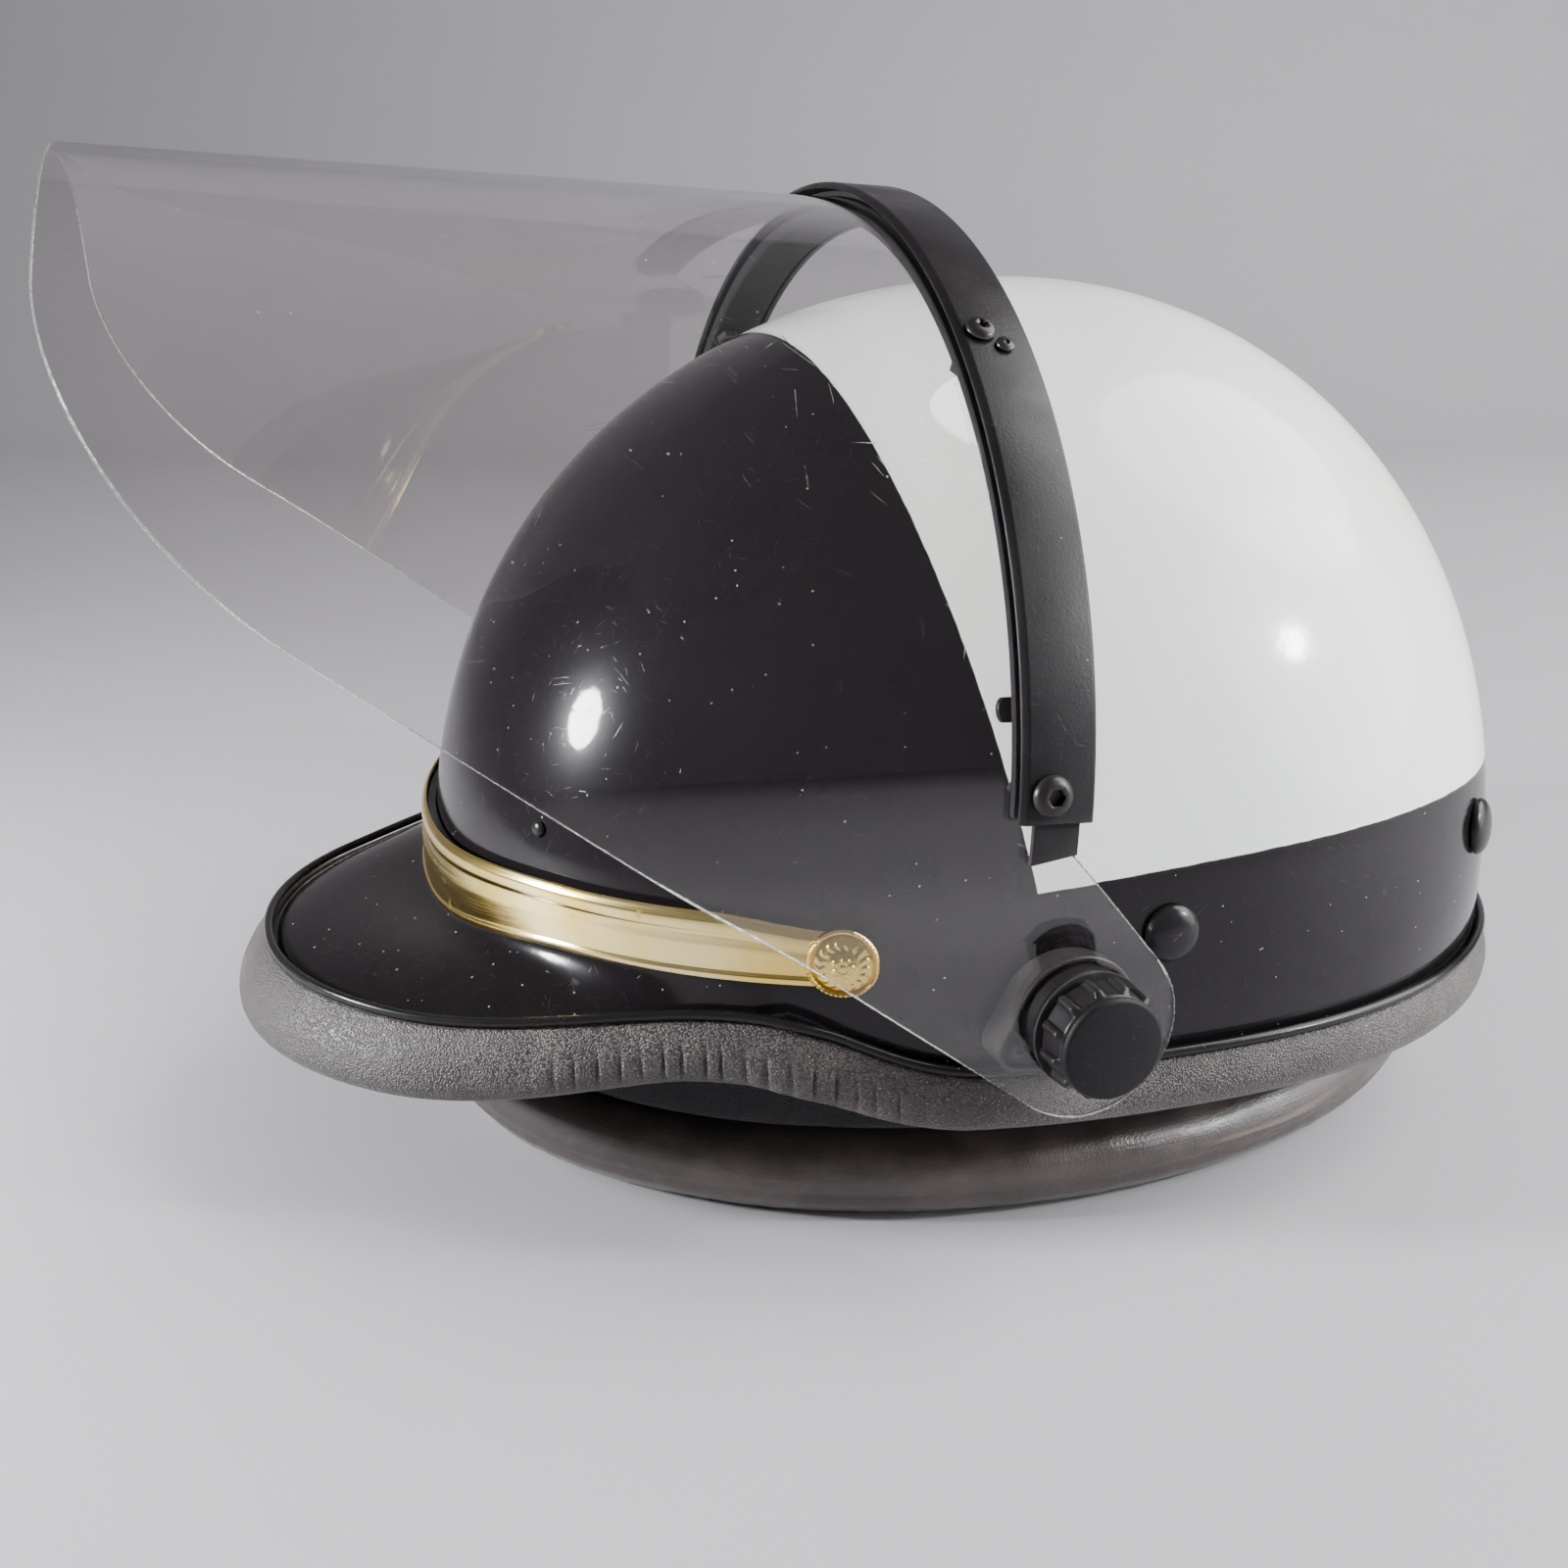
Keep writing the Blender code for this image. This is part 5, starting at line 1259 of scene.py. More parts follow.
def make_lining_band():
    """The padded cloth between the roll and the shell, tacked down every 30 degrees."""
    low = 1.96 * ROLL_RADIUS + 2 * GAP
    rings = []
    for angle in rim_angles(1.5):
        turn = math.radians(angle)
        wide = SHELL_HALF_WIDTH - SHELL_WALL - 0.0100
        long = (SHELL_FRONT if math.cos(turn) > 0 else SHELL_REAR) - SHELL_WALL - 0.0100
        top = Vector((wide * math.sin(turn), -long * math.cos(turn), LINING_TOP))
        out = Vector((math.sin(turn) / wide, -math.cos(turn) / long, 0.0)).normalized()
        foot = roll_point(angle, 0.0, low)
        foot_out = roll_point(angle, 0.001, low) - foot
        foot_out.normalize()
        pinch = abs(math.sin(math.radians(6 * angle))) ** 0.4
        half = LINING_WALL / 2 * (0.62 + 0.34 * pinch)
        half += 0.0003 * noise.noise(Vector((angle * 0.08, 2.0, 8.0)))
        ring = []
        for side, order in ((1, range(13)), (-1, range(12, -1, -1))):
            for row in order:
                share = row / 12
                full = math.sqrt(max(0.0, 1.0 - (2 * share - 1) ** 8))
                push = foot_out.lerp(out, share).normalized() * side * half * (0.30 + 0.70 * full)
                ring.append(foot.lerp(top, share) + push)
        rings.append(ring)
    lining = loft("lining_cloth", rings, PAINTS["pad_cloth"], True, 70.0)
    stand_for(lining, "helmet", "pad_cloth", "lining_band")


def ribbon(name, path, widths):
    """Webbing along a path, its selvedges rounded; widths holds the direction across it at each point."""
    section = []
    for share in (-0.5, -0.485, -0.45, -0.25, 0.0, 0.25, 0.45, 0.485, 0.5):
        section.append((share, -0.5 * min(1.0, math.sqrt(max(0.0, 1.0 - (abs(share) * 2) ** 24)) + 0.35)))
    section += [(share, -thick) for share, thick in section[::-1]]
    rings = []
    for index, point in enumerate(path):
        before = path[max(0, index - 1)]
        after = path[min(len(path) - 1, index + 1)]
        along = (after - before).normalized()
        across = (widths[index] - along * widths[index].dot(along)).normalized()
        face = along.cross(across)
        ring = []
        for share, thick in section:
            ring.append(point + across * share * STRAP_WIDTH + face * thick * STRAP_WALL)
        rings.append(ring)
    return loft(name, rings, PAINTS["webbing"], smooth=60.0)


def strap_drop(side, angle, top):
    """From the rivet down the shell's inner face, over the lining band and down inside it."""
    wall = -SHELL_WALL - 0.0019
    inside = -0.0325 - (0.0020 if angle > 90.0 else 0.0)
    return [
        shell_point(side * angle, top + 0.0080, wall),
        shell_point(side * angle, 0.0640, wall - 0.0004),
        shell_point(side * angle, 0.0575, wall - 0.0020),
        shell_point(side * angle, 0.0564, -0.0120),
        shell_point(side * angle, 0.0560, -0.0205),
        shell_point(side * angle, 0.0500, -0.0275),
        shell_point(side * angle, 0.0300, inside),
    ]


def make_straps():
    for side, word in SIDES:
        angle, top = STRAP_RIVET_FRONT
        corners = strap_drop(side, angle, top)
        y = corners[0].y
        for x, height in ((0.0805, 0.0100), (0.0770, 0.0026), (0.0700, 0.0012), (0.0610, 0.0012),
                          (0.0525, 0.0012)):
            corners.append(Vector((side * x, y, height)))
        path = smooth_path(corners, 10)
        across = [plan_normal(side * angle).cross(UP)] * len(path)
        strap = ribbon(f"chin_webbing_{word}", path, across)
        stand_for(strap, "helmet", "webbing", f"chin_strap_{word}")

        angle, top = STRAP_RIVET_REAR
        corners = strap_drop(side, angle, top)
        inward = -plan_normal(side * angle)
        for height, offset in ((0.0180, -0.0380), (0.0080, -0.0400), (0.0020, -0.0450), (0.0013, -0.0530)):
            corners.append(shell_point(side * angle, height, offset))
        corners += [
            Vector((side * 0.0565, 0.0370, 0.0013)),
            Vector((side * 0.0605, 0.0240, 0.0013)),
            Vector((side * 0.0626, 0.0090, 0.0031)),
            Vector((side * 0.0632, -0.0160, 0.0040)),
        ]
        path = smooth_path(corners, 10)
        start = inward.cross(UP)
        finish = Vector((math.copysign(1.0, start.x), 0.0, 0.0))
        widths = []
        for index in range(len(path)):
            share = ramp(index / (len(path) - 1), 0.70, 0.90)
            widths.append(start * (1.0 - share) + finish * share)
        strap = ribbon(f"nape_webbing_{word}", path, widths)
        stand_for(strap, "helmet", "webbing", f"nape_strap_{word}")
    make_buckle(shell_point(STRAP_RIVET_FRONT[0], 0.0, 0.0).y)


def make_buckle(y):
    """The side-release chin buckle's halves: a hooded socket, and a plug with a waist."""
    socket = [(0.0522, 0.0110), (0.0515, 0.0124), (0.0490, 0.0125), (0.0470, 0.0125), (0.0462, 0.0119),
              (0.0450, 0.0119), (0.0442, 0.0125), (0.0400, 0.0125), (0.0370, 0.0124), (0.0330, 0.0116),
              (0.0306, 0.0104), (0.0300, 0.0094)]
    plug = [(0.0522, 0.0110), (0.0515, 0.0124), (0.0440, 0.0125), (0.0422, 0.0122), (0.0412, 0.0098),
            (0.0400, 0.0090), (0.0385, 0.0092), (0.0350, 0.0098), (0.0310, 0.0088), (0.0288, 0.0068),
            (0.0280, 0.0050)]
    for name, outline, side in (("buckle_socket", socket, 1), ("buckle_plug", plug, -1)):
        rings = []
        for index, (x, half) in enumerate(outline):
            thin = 0.0009 if index in (0, len(outline) - 1) else 0.0
            low, high = 0.0004 + thin, 0.0062 - thin
            corners = [(-half, low), (half, low), (half, high), (-half, high)]
            rings.append([
                Vector((side * (x - 0.0003), y + across, height))
                for across, height in rounded(corners, 0.0016, 4)
            ])
        made = loft(f"{name}_moulding", rings, PAINTS["black_plastic"], smooth=50.0)
        stand_for(made, "helmet", "black_plastic", name)


# ---------------------------------------------------------------- shield geometry

def arch_half_width(height):
    """Half the sheet's outer width at a height over the arch's centre; below it the ears turn in."""
    if height >= 0.0:
        return ARCH_HALF_WIDTH * math.sqrt(max(0.0, 1.0 - (height / ARCH_RISE) ** 2))
    return ARCH_HALF_WIDTH - EAR_SETBACK * ramp(-height, 0.0, EAR_BEND)


def arch_table():
    """(arc length from the top, x, height) down one side of the sheet's outer face."""
    samples = 4000
    lowest = PIVOT_Z - EAR_RADIUS - ARCH_CENTRE - 0.0080
    rows = [(0.0, 0.0, ARCH_RISE)]
    for step in range(1, samples + 1):
        share = step / samples
        height = ARCH_RISE + (lowest - ARCH_RISE) * share * share
        x = arch_half_width(height)
        length, x_before, height_before = rows[-1]
        rows.append((length + math.hypot(x - x_before, height - height_before), x, height))
    return rows


ARCH = arch_table()


def arch_at(length):
    """(x, height) on the arch at an arc length, interpolated in the table."""
    low = 0
    high = len(ARCH) - 1
    while high - low > 1:
        middle = (low + high) // 2
        if ARCH[middle][0] <= length:
            low = middle
        else:
            high = middle
    first, second = ARCH[low], ARCH[high]
    share = (length - first[0]) / (second[0] - first[0])
    return first[1] + (second[1] - first[1]) * share, first[2] + (second[2] - first[2]) * share


def arch_point(length, forward, offset):
    """A point off the sheet's outer face: arc length from the top (+ left), distance forward, offset out."""
    reach = abs(length)
    x, height = arch_at(reach)
    x_near, height_near = arch_at(max(0.0, reach - 0.0005))
    x_far, height_far = arch_at(reach + 0.0005)
    along = Vector((x_far - x_near, height_far - height_near)).normalized()
    x -= along.y * offset
    height += along.x * offset
    y = ARCH_REAR - forward * math.cos(ARCH_PITCH) + height * math.sin(ARCH_PITCH)
    z = ARCH_CENTRE + forward * math.sin(ARCH_PITCH) + height * math.cos(ARCH_PITCH)
    return Vector((math.copysign(x, length) if reach > 0 else x, y, z))


def arch_normal(length, forward):
    return (arch_point(length, forward, 0.001) - arch_point(length, forward, 0.0)).normalized()


def pivot_place():
    """The pivot's arc length and forward distance on the sheet."""
    y = PIVOT_Y - ARCH_REAR
    z = PIVOT_Z - ARCH_CENTRE
    forward = -y * math.cos(ARCH_PITCH) + z * math.sin(ARCH_PITCH)
    height = z * math.cos(ARCH_PITCH) + y * math.sin(ARCH_PITCH)
    return next(row[0] for row in ARCH if row[2] <= height), forward


PIVOT_LENGTH, PIVOT_FORWARD = pivot_place()


def sheet_front(length):
    """The sheet's front edge: level tip, round corner, straight chin edge and the ear's arc."""
    reach = abs(length)
    lean = CHIN_SLOPE
    slope = math.tan(lean)
    edge_x = PIVOT_LENGTH + EAR_RADIUS * math.sin(lean)
    edge_y = PIVOT_FORWARD + EAR_RADIUS * math.cos(lean)
    if reach >= edge_x:
        return PIVOT_FORWARD + math.sqrt(max(0.0, EAR_RADIUS ** 2 - (reach - PIVOT_LENGTH) ** 2))
    corner = edge_x - (SHIELD_LENGTH - edge_y) / slope
    run = CHIN_CORNER_RADIUS * math.tan(lean / 2)
    arc_start = corner - run
    if reach <= arc_start:
        return SHIELD_LENGTH
    if reach < corner + run * math.cos(lean):
        rise = math.sqrt(CHIN_CORNER_RADIUS ** 2 - (reach - arc_start) ** 2)
        return SHIELD_LENGTH - CHIN_CORNER_RADIUS + rise
    return edge_y + (edge_x - reach) * slope


def sheet_rear(length):
    """The sheet's rear edge: inside the strip, then straight to the ear's arc."""
    reach = abs(length)
    lean = REAR_SLOPE
    edge_x = PIVOT_LENGTH - EAR_RADIUS * math.sin(lean)
    edge_y = PIVOT_FORWARD - EAR_RADIUS * math.cos(lean)
    if reach >= edge_x:
        return PIVOT_FORWARD - math.sqrt(max(0.0, EAR_RADIUS ** 2 - (reach - PIVOT_LENGTH) ** 2))
    return min(SHEET_START, edge_y + (edge_x - reach) * math.tan(lean))


def arch_run(half, steps):
    return [half * (step / steps * 2 - 1) for step in range(steps + 1)]


def make_sheet():
    turn_in = PIVOT_LENGTH - EAR_RADIUS
    half = [turn_in * step / 110 for step in range(111)]
    half += [PIVOT_LENGTH - EAR_RADIUS * math.cos(math.pi * step / 48.1) for step in range(1, 49)]
    rings = []
    across = 14
    for length in [-length for length in reversed(half[1:])] + half:
        rear = sheet_rear(length)
        front = sheet_front(length)
        bevel = min(SHEET_BEVEL, 0.2 * (front - rear))
        outer = [rear + bevel + (front - rear - 2 * bevel) * step / across for step in range(across + 1)]
        ring = [arch_point(length, forward, 0.0) for forward in outer]
        ring.append(arch_point(length, front, -SHEET_BEVEL))
        ring.append(arch_point(length, front, -SHEET_WALL + SHEET_BEVEL))
        ring += [arch_point(length, forward, -SHEET_WALL) for forward in outer[::-1]]
        ring.append(arch_point(length, rear, -SHEET_WALL + SHEET_BEVEL))
        ring.append(arch_point(length, rear, -SHEET_BEVEL))
        rings.append(ring)
    count = len(rings[0])
    total = (len(rings) - 1) * count

    def edge(polygon):
        if polygon.index >= total:
            return 1
        corner = polygon.index % count
        return 1 if across < corner + 0.5 and corner < across + 3 or corner > 2 * across + 3 else 0

    sheet = loft("shield_sheet", rings, [PAINTS["clear_sheet"], PAINTS["clear_edge"]], smooth=35.0,
                 edge_faces=edge)
    stand_for(sheet, "shield", "clear_sheet", "face_shield")


def make_strip_layers():
    inside = -SHEET_WALL - GAP
    strip_corners = [
        (0.0, STRIP_OUTER),
        (STRIP_WIDTH - 0.0012, STRIP_OUTER),
        (STRIP_WIDTH, STRIP_OUTER - 0.0010),
        (STRIP_WIDTH, STRIP_INNER),
        (0.0014, STRIP_INNER),
        (0.0014, inside - SEAL_WALL),
        (0.0, inside - SEAL_WALL),
    ]
    strip_profile = rounded(strip_corners, [0.0007, 0.0004, 0.0004, 0.0003, 0.0002, 0.0003, 0.0003], 3)
    seal_profile = rounded([
        (SHEET_START, inside),
        (STRIP_WIDTH - 0.0005, inside),
        (STRIP_WIDTH - 0.0012, inside - SEAL_WALL),
        (SHEET_START, inside - SEAL_WALL),
    ], 0.0008, 3)
    gasket_profile = rounded([
        (SHEET_START, GASKET_OUTER),
        (GASKET_FRONT, GASKET_OUTER),
        (GASKET_FRONT, GAP),
        (SHEET_START, GAP),
    ], 0.0003, 2)

    def run(half):
        stations = arch_run(half, 180)
        nib = [half - 0.0002, half]
        return [-reach for reach in nib[::-1]] + stations[1:-1] + nib

    def end_tuck(length, half):
        return 0.0003 if abs(length) >= half - 1e-6 else 0.0

    strip = []
    for length in run(STRIP_REACH):
        tuck = end_tuck(length, STRIP_REACH)
        ring = []
        for forward, offset in strip_profile:
            closer = tuck if offset > STRIP_OUTER - 0.0004 else 0.0
            ring.append(arch_point(length, forward, offset - closer))
        strip.append(ring)
    seal = [[arch_point(length, *corner) for corner in seal_profile] for length in run(STRIP_REACH - 0.0005)]
    gasket = []
    for share in arch_run(1.0, 180):
        ring = []
        for forward, offset in gasket_profile:
            slant = 0.0026 * (forward - SHEET_START) / STRIP_WIDTH
            ring.append(arch_point(share * (GASKET_REACH + slant), forward, offset))
        gasket.append(ring)
    for name, rings, slot, node in (
        ("strip_channel", strip, "black_plastic", "brow_strip"),
        ("strip_gasket", gasket, "seal_rubber", "brow_gasket"),
        ("strip_seal", seal, "seal_rubber", "brow_seal"),
    ):
        stand_for(loft(name, rings, PAINTS[slot]), "shield", slot, node)


def hexagon(angle):
    """1 at a hexagon's corners, less along its flats."""
    return math.cos(math.pi / 6) / math.cos((angle % (math.pi / 3)) - math.pi / 6)


def raised(base, rows):
    """(radius, height) pairs from (radius, rise over the base) pairs."""
    return [(radius, base + rise) for radius, rise in rows]


def make_strip_fasteners():
    top = STRIP_OUTER + GAP
    under = -SHEET_WALL - 2 * GAP - SEAL_WALL
    thread = [(0.0017 - 0.00012 * (step % 2), under - 0.0029 + 0.00025 * step) for step in range(12)]
    bolt = [(0.0013, under - 0.0031)] + thread + raised(top, (
        (0.0017, 0.0), (0.0036, 0.0), (0.0040, 0.0003), (0.0039, 0.0009), (0.0036, 0.0014), (0.0031, 0.0018),
        (0.0026, 0.0020), (0.0019, 0.0021), (0.0018, 0.0020), (0.0017, 0.0006), (0.0002, 0.0005)))
    bolt_hex = len(bolt) - 5
    screw = [(0.0010, under - 0.0026), (0.0013, under - 0.0024)] + raised(top, (
        (0.0013, 0.0), (0.0029, 0.0), (0.0032, 0.0003), (0.0030, 0.0008), (0.0025, 0.0012), (0.0018, 0.00145),
        (0.0012, 0.0015), (0.0011, 0.0013), (0.0007, 0.0006), (0.0001, 0.0005)))
    screw_cross = len(screw) - 4
    rivet = [(0.0012, under - 0.0006), (0.0014, under - 0.0004), (0.0014, under - 0.0001), (0.0008, under)]
    rivet += raised(top, (
        (0.0008, 0.0), (0.0017, 0.0), (0.0019, 0.0002), (0.0018, 0.0005), (0.0013, 0.0008), (0.0007, 0.0009),
        (0.0005, 0.0006), (0.0001, 0.0005)))

    def bolt_wave(row, angle):
        return hexagon(angle) if row > bolt_hex + 1 else 1.0

    def screw_wave(row, angle):
        return 0.55 + 0.62 * abs(math.cos(2 * angle)) ** 3 if row > screw_cross else 1.0

    def plain_wave(row, angle):
        return 1.0

    heads = (("bolt", BOLT_PLACE, bolt, bolt_wave), ("screw", SCREW_PLACE, screw, screw_wave),
             ("rivet", RIVET_PLACE, rivet, plain_wave))
    nuts = (("strip_nut", BOLT_PLACE, 0.0040, 0.0021), ("screw_nut", SCREW_PLACE, 0.0032, 0.0017))
    for side, word in SIDES:
        for stem, (length, forward), profile, wave in heads:
            made = turned(f"strip_{stem}_head_{word}", profile, 48, PAINTS["black_steel"],
                          arch_point(side * length, forward, 0.0), arch_normal(side * length, forward), wave)
            stand_for(made, "shield", "black_steel", f"strip_{stem}_{word}")
        for stem, (length, forward), radius, bore in nuts:
            outline = [(radius - 0.0004, under - 0.0024), (radius, under - 0.0021), (radius, under - 0.0002),
                       (radius - 0.0003, under), (bore + 0.0003, under), (bore, under - 0.0003),
                       (bore, under - 0.0021), (bore + 0.0003, under - 0.0024)]

            def nut_wave(row, angle, radius=radius):
                return radius * (hexagon(angle) - 1.0) if row < 4 else 0.0

            nut = washer_shape(f"{stem}_hex_{word}", outline, 72, PAINTS["black_steel"],
                               arch_point(side * length, forward, 0.0), arch_normal(side * length, forward),
                               nut_wave, 30.0)
            stand_for(nut, "shield", "black_steel", f"{stem}_{word}")
        make_tab(side, word, under)


def make_tab(side, word, under):
    """A small moulded tab that keeps the inner seal in place, at the strip's front edge."""
    length, forward = TAB_PLACE
    rings = []
    profile = [(0.0, 0.0), (0.0062, 0.0), (0.0062, -0.0014), (0.0, -0.0014)]
    stations = (-0.0025, -0.0023, -0.0018, -0.0009, 0.0, 0.0009, 0.0018, 0.0023, 0.0025)
    for across in stations:
        nose = 0.0014 * (1.0 - math.sqrt(max(0.0, 1.0 - (abs(across) / 0.0026) ** 2)))
        thin = 0.0002 if abs(across) > 0.0024 else 0.0
        ring = []
        for reach, height in rounded(profile, 0.0004, 3):
            shortened = reach - nose if reach > 0.003 else reach
            ring.append(arch_point(side * (length + across), forward + shortened,
                                   under + height * (1.0 - thin * 300.0)))
        rings.append(ring)
    made = loft(f"seal_tab_moulding_{word}", rings, PAINTS["black_plastic"])
    stand_for(made, "shield", "black_plastic", f"seal_tab_{word}")


# ---------------------------------------------------------------- pivots

def base_outline(steps, reach, lug_reach, bottom):
    """(y, z) points of one outline round the pivot and the lug, flat below."""
    lug = Vector((LUG_Y - PIVOT_Y, LUG_Z - PIVOT_Z))
    points = []
    for step in range(steps):
        turn = math.tau * step / steps
        normal = Vector((math.cos(turn), math.sin(turn)))
        point = normal * reach
        if lug_reach and lug.dot(normal) + lug_reach > reach:
            point = lug + normal * lug_reach
        points.append((PIVOT_Y + point.x, max(bottom, PIVOT_Z + point.y)))
    return points


def plan_side(y):
    """The shell wall's half width at a y."""
    share = 1.0 - (abs(y) / SHELL_FRONT) ** PLAN_POWER
    return SHELL_HALF_WIDTH * share ** (1 / PLAN_POWER)


def base_floor(y):
    """X of the base's inner face, a plane along the shell's side."""
    lean = (plan_side(PIVOT_Y + BASE_RADIUS) - plan_side(PIVOT_Y - BASE_RADIUS)) / (2 * BASE_RADIUS)
    return plan_side(PIVOT_Y + BASE_RADIUS) + 0.0007 + lean * (y - PIVOT_Y - BASE_RADIUS)


def make_pivots():
    knob_base = EAR_FACE + 0.0014
    steps = 144
    for side, word in SIDES:
        outward = Vector((side, 0.0, 0.0))
        centre = Vector((0.0, PIVOT_Y, PIVOT_Z))
        wide = base_outline(steps, BASE_RADIUS, LUG_RADIUS, BASE_BOTTOM)
        soft = base_outline(steps, BASE_RADIUS - 0.0003, LUG_RADIUS - 0.0003, BASE_BOTTOM + 0.0003)
        lip = base_outline(steps, BASE_RADIUS - 0.0009, LUG_RADIUS - 0.0009, BASE_BOTTOM + 0.0009)
        floor = base_outline(steps, BASE_RADIUS - 0.0013, LUG_RADIUS - 0.0012, BASE_BOTTOM + 0.0012)
        narrow = base_outline(steps, BASE_COLUMN_RADIUS, 0.0, BASE_BOTTOM)
        waist = base_outline(steps, BASE_COLUMN_RADIUS - 0.0003, 0.0, BASE_BOTTOM + 0.0003)
        rise = 0.0016
        top = EAR_FACE - SHEET_WALL - GAP
        rings = [
            [Vector((side * base_floor(y), y, z)) for y, z in wide],
            [Vector((side * (BASE_STEP + rise - 0.0003), y, z)) for y, z in wide],
            [Vector((side * (BASE_STEP + rise), y, z)) for y, z in soft],
            [Vector((side * (BASE_STEP + rise), y, z)) for y, z in lip],
            [Vector((side * (BASE_STEP + 0.0001), y, z)) for y, z in floor],
            [Vector((side * (BASE_STEP + 0.0002), y, z)) for y, z in narrow],
            [Vector((side * (top - 0.0003), y, z)) for y, z in narrow],
            [Vector((side * top, y, z)) for y, z in waist],
        ]
        base = loft(f"pivot_block_{word}", rings, PAINTS["black_plastic"], smooth=30.0)
        stand_for(base, "helmet", "black_plastic", f"pivot_base_{word}")

        wall = plan_side(PIVOT_Y) - SHELL_WALL - 0.0013
        bolt = [(0.0046, wall - 0.0018), (0.0050, wall - 0.0014), (0.0050, wall), (BOLT_RADIUS, wall)]
        bolt += [(BOLT_RADIUS - 0.0001 * (step % 2), wall + 0.0002 + 0.0004 * step) for step in range(26)]
        bolt += [(BOLT_RADIUS, knob_base + 0.0046), (BOLT_RADIUS - 0.0004, knob_base + 0.0050)]
        made = turned(f"pivot_stud_{word}", bolt, 48, PAINTS["zinc_steel"], centre, outward)
        stand_for(made, "helmet", "zinc_steel", f"pivot_bolt_{word}")

        seat = BASE_STEP + GAP
        screw = [(0.0008, plan_side(LUG_Y) + 0.0012), (0.0010, plan_side(LUG_Y) + 0.0016)] + raised(seat, (
            (0.0010, 0.0), (0.0017, 0.0), (0.0018, 0.0003), (0.0017, 0.0008), (0.0013, 0.0013),
            (0.0008, 0.0015), (0.0007, 0.0014), (0.0004, 0.0009), (0.0001, 0.0008)))

        def drive(row, angle):
            return 0.6 + 0.6 * abs(math.cos(2 * angle)) ** 3 if row > 7 else 1.0

        made = turned(f"base_screw_head_{word}", screw, 40, PAINTS["black_steel"],
                      Vector((0.0, LUG_Y, LUG_Z)), outward, drive)
        stand_for(made, "helmet", "black_steel", f"base_screw_{word}")

        thick = 0.0011
        ring = rounded([(WASHER_RADIUS, GAP), (WASHER_RADIUS, thick), (KNOB_BORE, thick), (KNOB_BORE, GAP)],
                       0.0003, 3)
        outline = [(reach, EAR_FACE + height) for reach, height in ring]
        made = washer_shape(f"ear_washer_ring_{word}", outline, 96, PAINTS["seal_rubber"], centre, outward)
        stand_for(made, "shield", "seal_rubber", f"ear_washer_{word}")
        make_knob(word, outward, centre + outward * knob_base)


def make_knob(word, outward, centre):
    """A clamping nut with axial ribs on the pivot bolt, and a smooth cap pressed into its face."""
    height = KNOB_HEIGHT
    pitch = math.tau / KNOB_RIBS
    phase = pitch * 2.5 / 6
    body = [(KNOB_BORE, 0.0, 0.0), (KNOB_RADIUS - 0.0002, 0.0, 0.0), (KNOB_RADIUS, 0.0002, 0.25)]
    for step in range(15):
        share = step / 14
        rib = math.sqrt(max(0.0, 1.0 - (2 * share - 1) ** 8)) * 0.93 + 0.07
        body.append((KNOB_RADIUS - 0.0003 * share, 0.0004 + (height - 0.0012) * share, rib))
    body += [(KNOB_RADIUS - 0.0004, height - 0.0004, 0.0), (KNOB_RADIUS - 0.0008, height, 0.0),
             (KNOB_BORE, height, 0.0)]
    half = KNOB_RIB_HALF_WIDTH / KNOB_RADIUS

    def ribs(row, angle):
        away = abs((angle - phase + pitch / 2) % pitch - pitch / 2)
        bulge = math.sqrt(max(0.0, 1.0 - (away / half) ** 2)) if away < half else 0.0
        return KNOB_RIB * body[row][2] * bulge

    outline = [(radius, rise) for radius, rise, _ in body]
    knob = washer_shape(f"knob_grip_{word}", outline, 36 * KNOB_RIBS, PAINTS["black_plastic"], centre,
                        outward, ribs, 50.0)
    stand_for(knob, f"knob_{word}", "black_plastic", f"pivot_knob_{word}")

    face = [(KNOB_CAP_RADIUS - 0.0003, height + GAP), (KNOB_CAP_RADIUS, height + GAP + 0.0002)]
    for step in range(1, 9):
        turn = math.pi / 2 * step / 8
        radius = KNOB_CAP_RADIUS - 0.0010 * (1.0 - math.cos(turn))
        face.append((radius, height + 0.0008 + 0.0010 * math.sin(turn)))
    face += [(KNOB_CAP_RADIUS * 0.80, height + 0.0020), (KNOB_CAP_RADIUS * 0.60, height + 0.00215),
             (KNOB_CAP_RADIUS * 0.40, height + 0.00225), (KNOB_CAP_RADIUS * 0.02, height + 0.0023)]
    cap = turned(f"knob_button_{word}", face, 96, PAINTS["cap_plastic"], centre, outward, smooth=50.0)
    stand_for(cap, f"knob_{word}", "cap_plastic", f"knob_cap_{word}")


# ---------------------------------------------------------------- stage

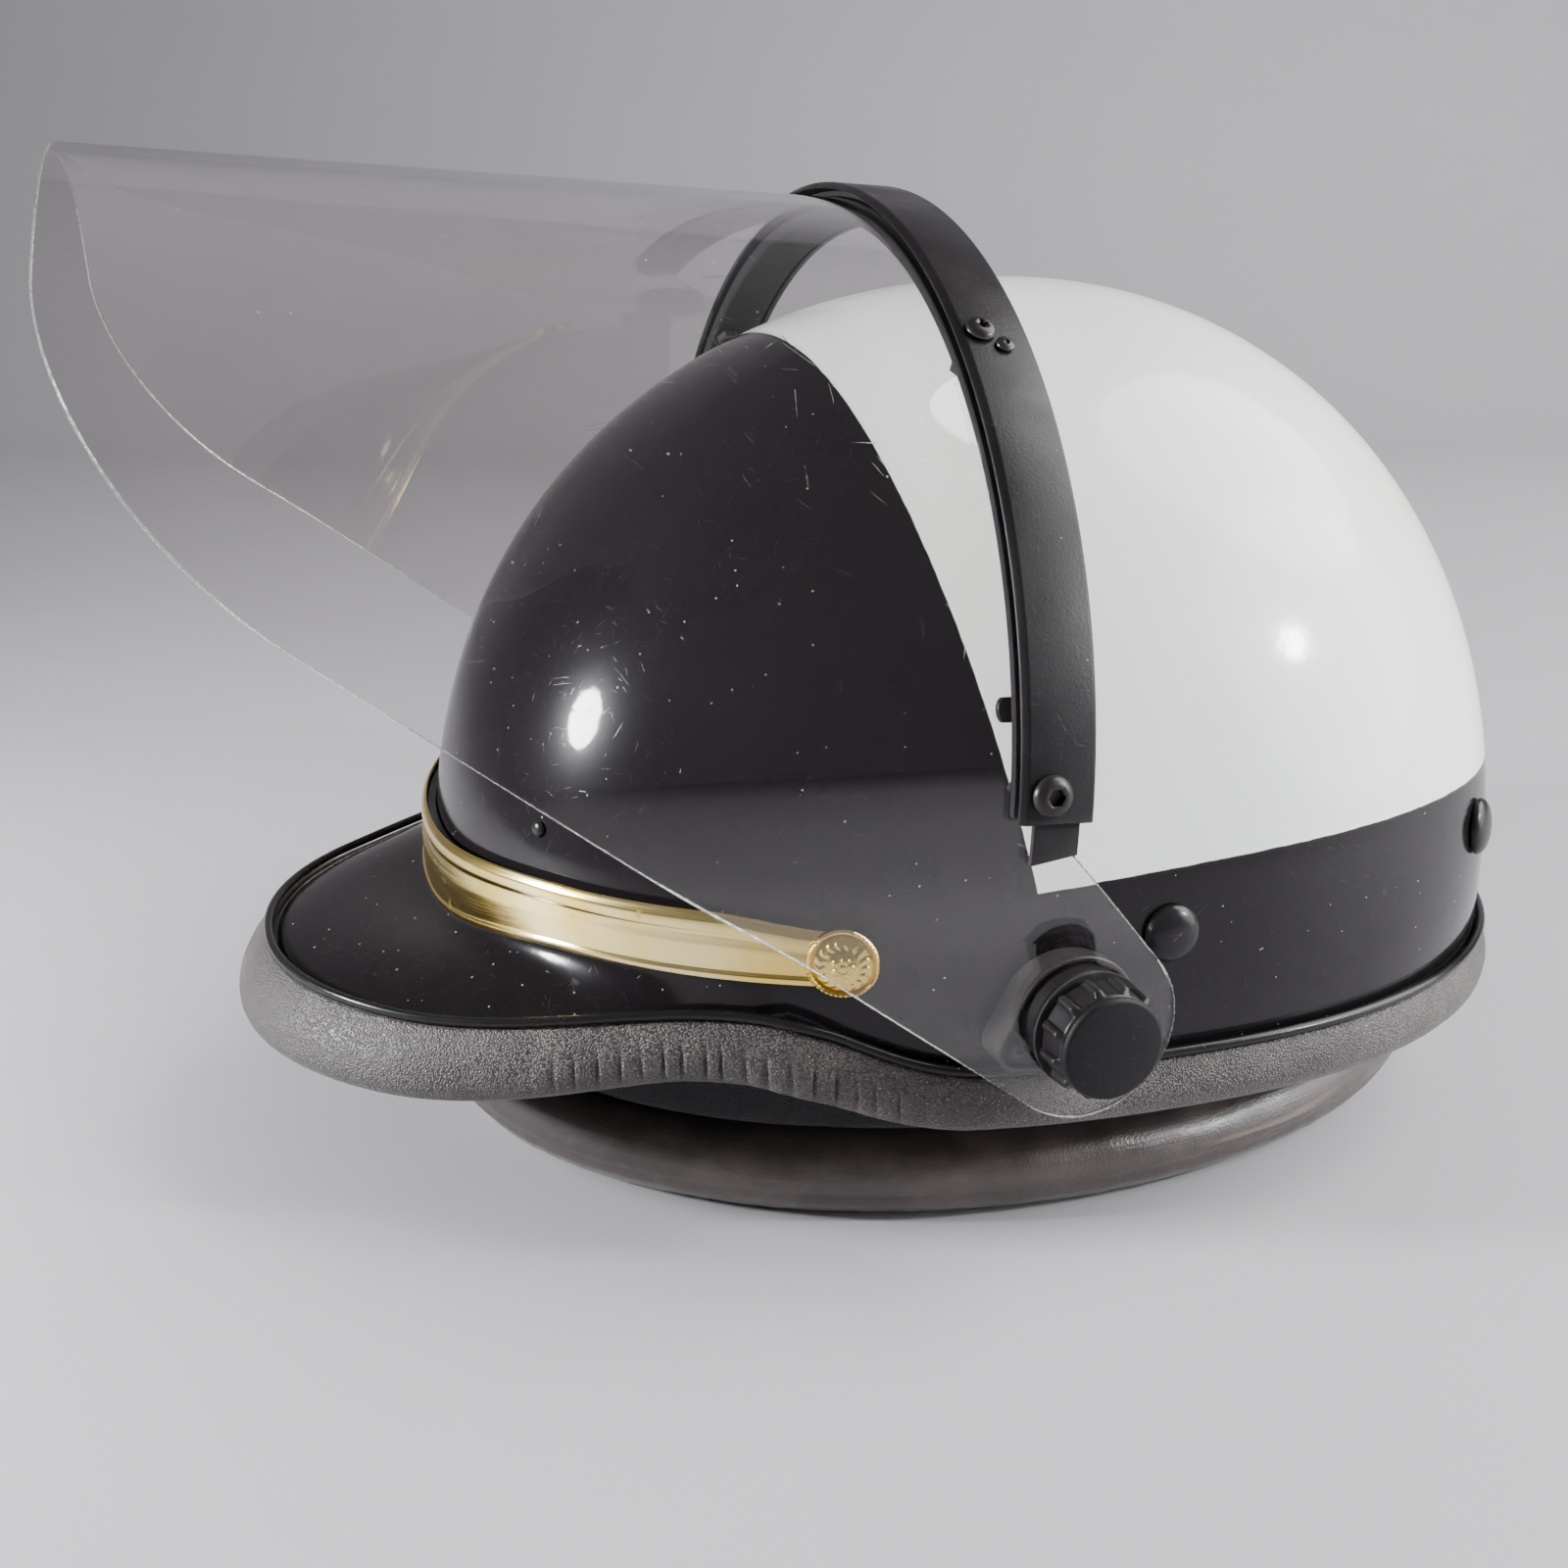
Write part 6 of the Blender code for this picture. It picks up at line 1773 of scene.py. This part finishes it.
def make_floor():
    """A pale table that sweeps up into a pale backdrop a long way behind the helmet."""
    profile = [(-FLOOR_AHEAD, 0.0), (FLOOR_BEHIND, 0.0)]
    for step in range(1, 13):
        turn = math.pi / 2 * step / 12
        profile.append((FLOOR_BEHIND + SWEEP_RADIUS * math.sin(turn), SWEEP_RADIUS * (1.0 - math.cos(turn))))
    profile.append((FLOOR_BEHIND + SWEEP_RADIUS, BACKDROP_HEIGHT))
    heading = Vector((-0.9487, 0.3160, 0.0))
    across = Vector((0.3160, 0.9487, 0.0))
    points = []
    for side in (-FLOOR_HALF_WIDTH, FLOOR_HALF_WIDTH):
        for reach, height in profile:
            points.append(heading * reach + across * side + Vector((0.0, 0.0, height - FLOOR_DROP)))
    count = len(profile)
    faces = [(step, step + 1, count + step + 1, count + step) for step in range(count - 1)]
    mesh = bpy.data.meshes.new("floor")
    mesh.from_pydata([tuple(point) for point in points], [], faces)
    mesh.shade_smooth()
    mesh.materials.append(pale_floor())
    floor = bpy.data.objects.new("floor", mesh)
    bpy.context.collection.objects.link(floor)


def lamp(name, place, target, size, power, colour=(1.0, 1.0, 1.0)):
    light = bpy.data.lights.new(name, "AREA")
    light.shape = "DISK"
    light.size = size
    light.energy = power
    light.color = colour
    made = bpy.data.objects.new(name, light)
    made.location = Vector(place) + SHIFT
    aim = Vector(target) + SHIFT - made.location
    made.rotation_euler = aim.to_track_quat("-Z", "Y").to_euler()
    bpy.context.collection.objects.link(made)


def make_lights():
    """Two small lamps for the crisp highlights, and broad soft ones above and behind that fill."""
    middle = (0.0, 0.0, 0.10)
    lamp("front_lamp", (-0.048, -0.692, 0.261), (0.057, -0.121, 0.111), 0.12, 10.5, (0.95, 0.97, 1.0))
    lamp("side_lamp", (0.435, 0.470, 0.347), (0.100, 0.023, 0.127), 0.06, 3.4, (0.97, 0.99, 1.0))
    lamp("top_softbox", (0.28, 1.80, 1.86), middle, 1.9, 92.0, (1.0, 0.99, 0.98))
    lamp("side_softbox", (0.70, 1.25, 0.60), middle, 1.3, 26.0, (0.97, 0.98, 1.0))
    world = bpy.data.worlds.new("studio")
    world.use_nodes = True
    background = world.node_tree.nodes["Background"]
    background.inputs["Color"].default_value = (0.80, 0.78, 0.82, 1.0)
    background.inputs["Strength"].default_value = 0.20
    bpy.context.scene.world = world


def make_camera():
    """The eye on the wearer's left, a little ahead and above, looking down across the helmet."""
    data = bpy.data.cameras.new("camera")
    data.sensor_width = 36.0
    data.lens = LENS
    data.clip_start = 0.02
    data.dof.use_dof = False
    camera = bpy.data.objects.new("camera", data)
    heading = Matrix.Rotation(EYE_HEADING, 4, "Z")
    tilt = Matrix.Rotation(math.pi / 2 - EYE_DOWN, 4, "X")
    roll = Matrix.Rotation(EYE_ROLL, 4, "Z")
    place = Matrix.Translation(Vector(EYE) + SHIFT)
    camera.matrix_world = place @ heading @ tilt @ roll
    bpy.context.collection.objects.link(camera)
    bpy.context.scene.camera = camera


make_camera()
make_shell()
make_rim()
make_cap_band()
make_rivets()
make_liner()
make_crown_pad()
make_sweatband()
make_lining_band()
make_neck_roll()
make_straps()
make_sheet()
make_strip_layers()
make_strip_fasteners()
make_pivots()
make_floor()
make_lights()
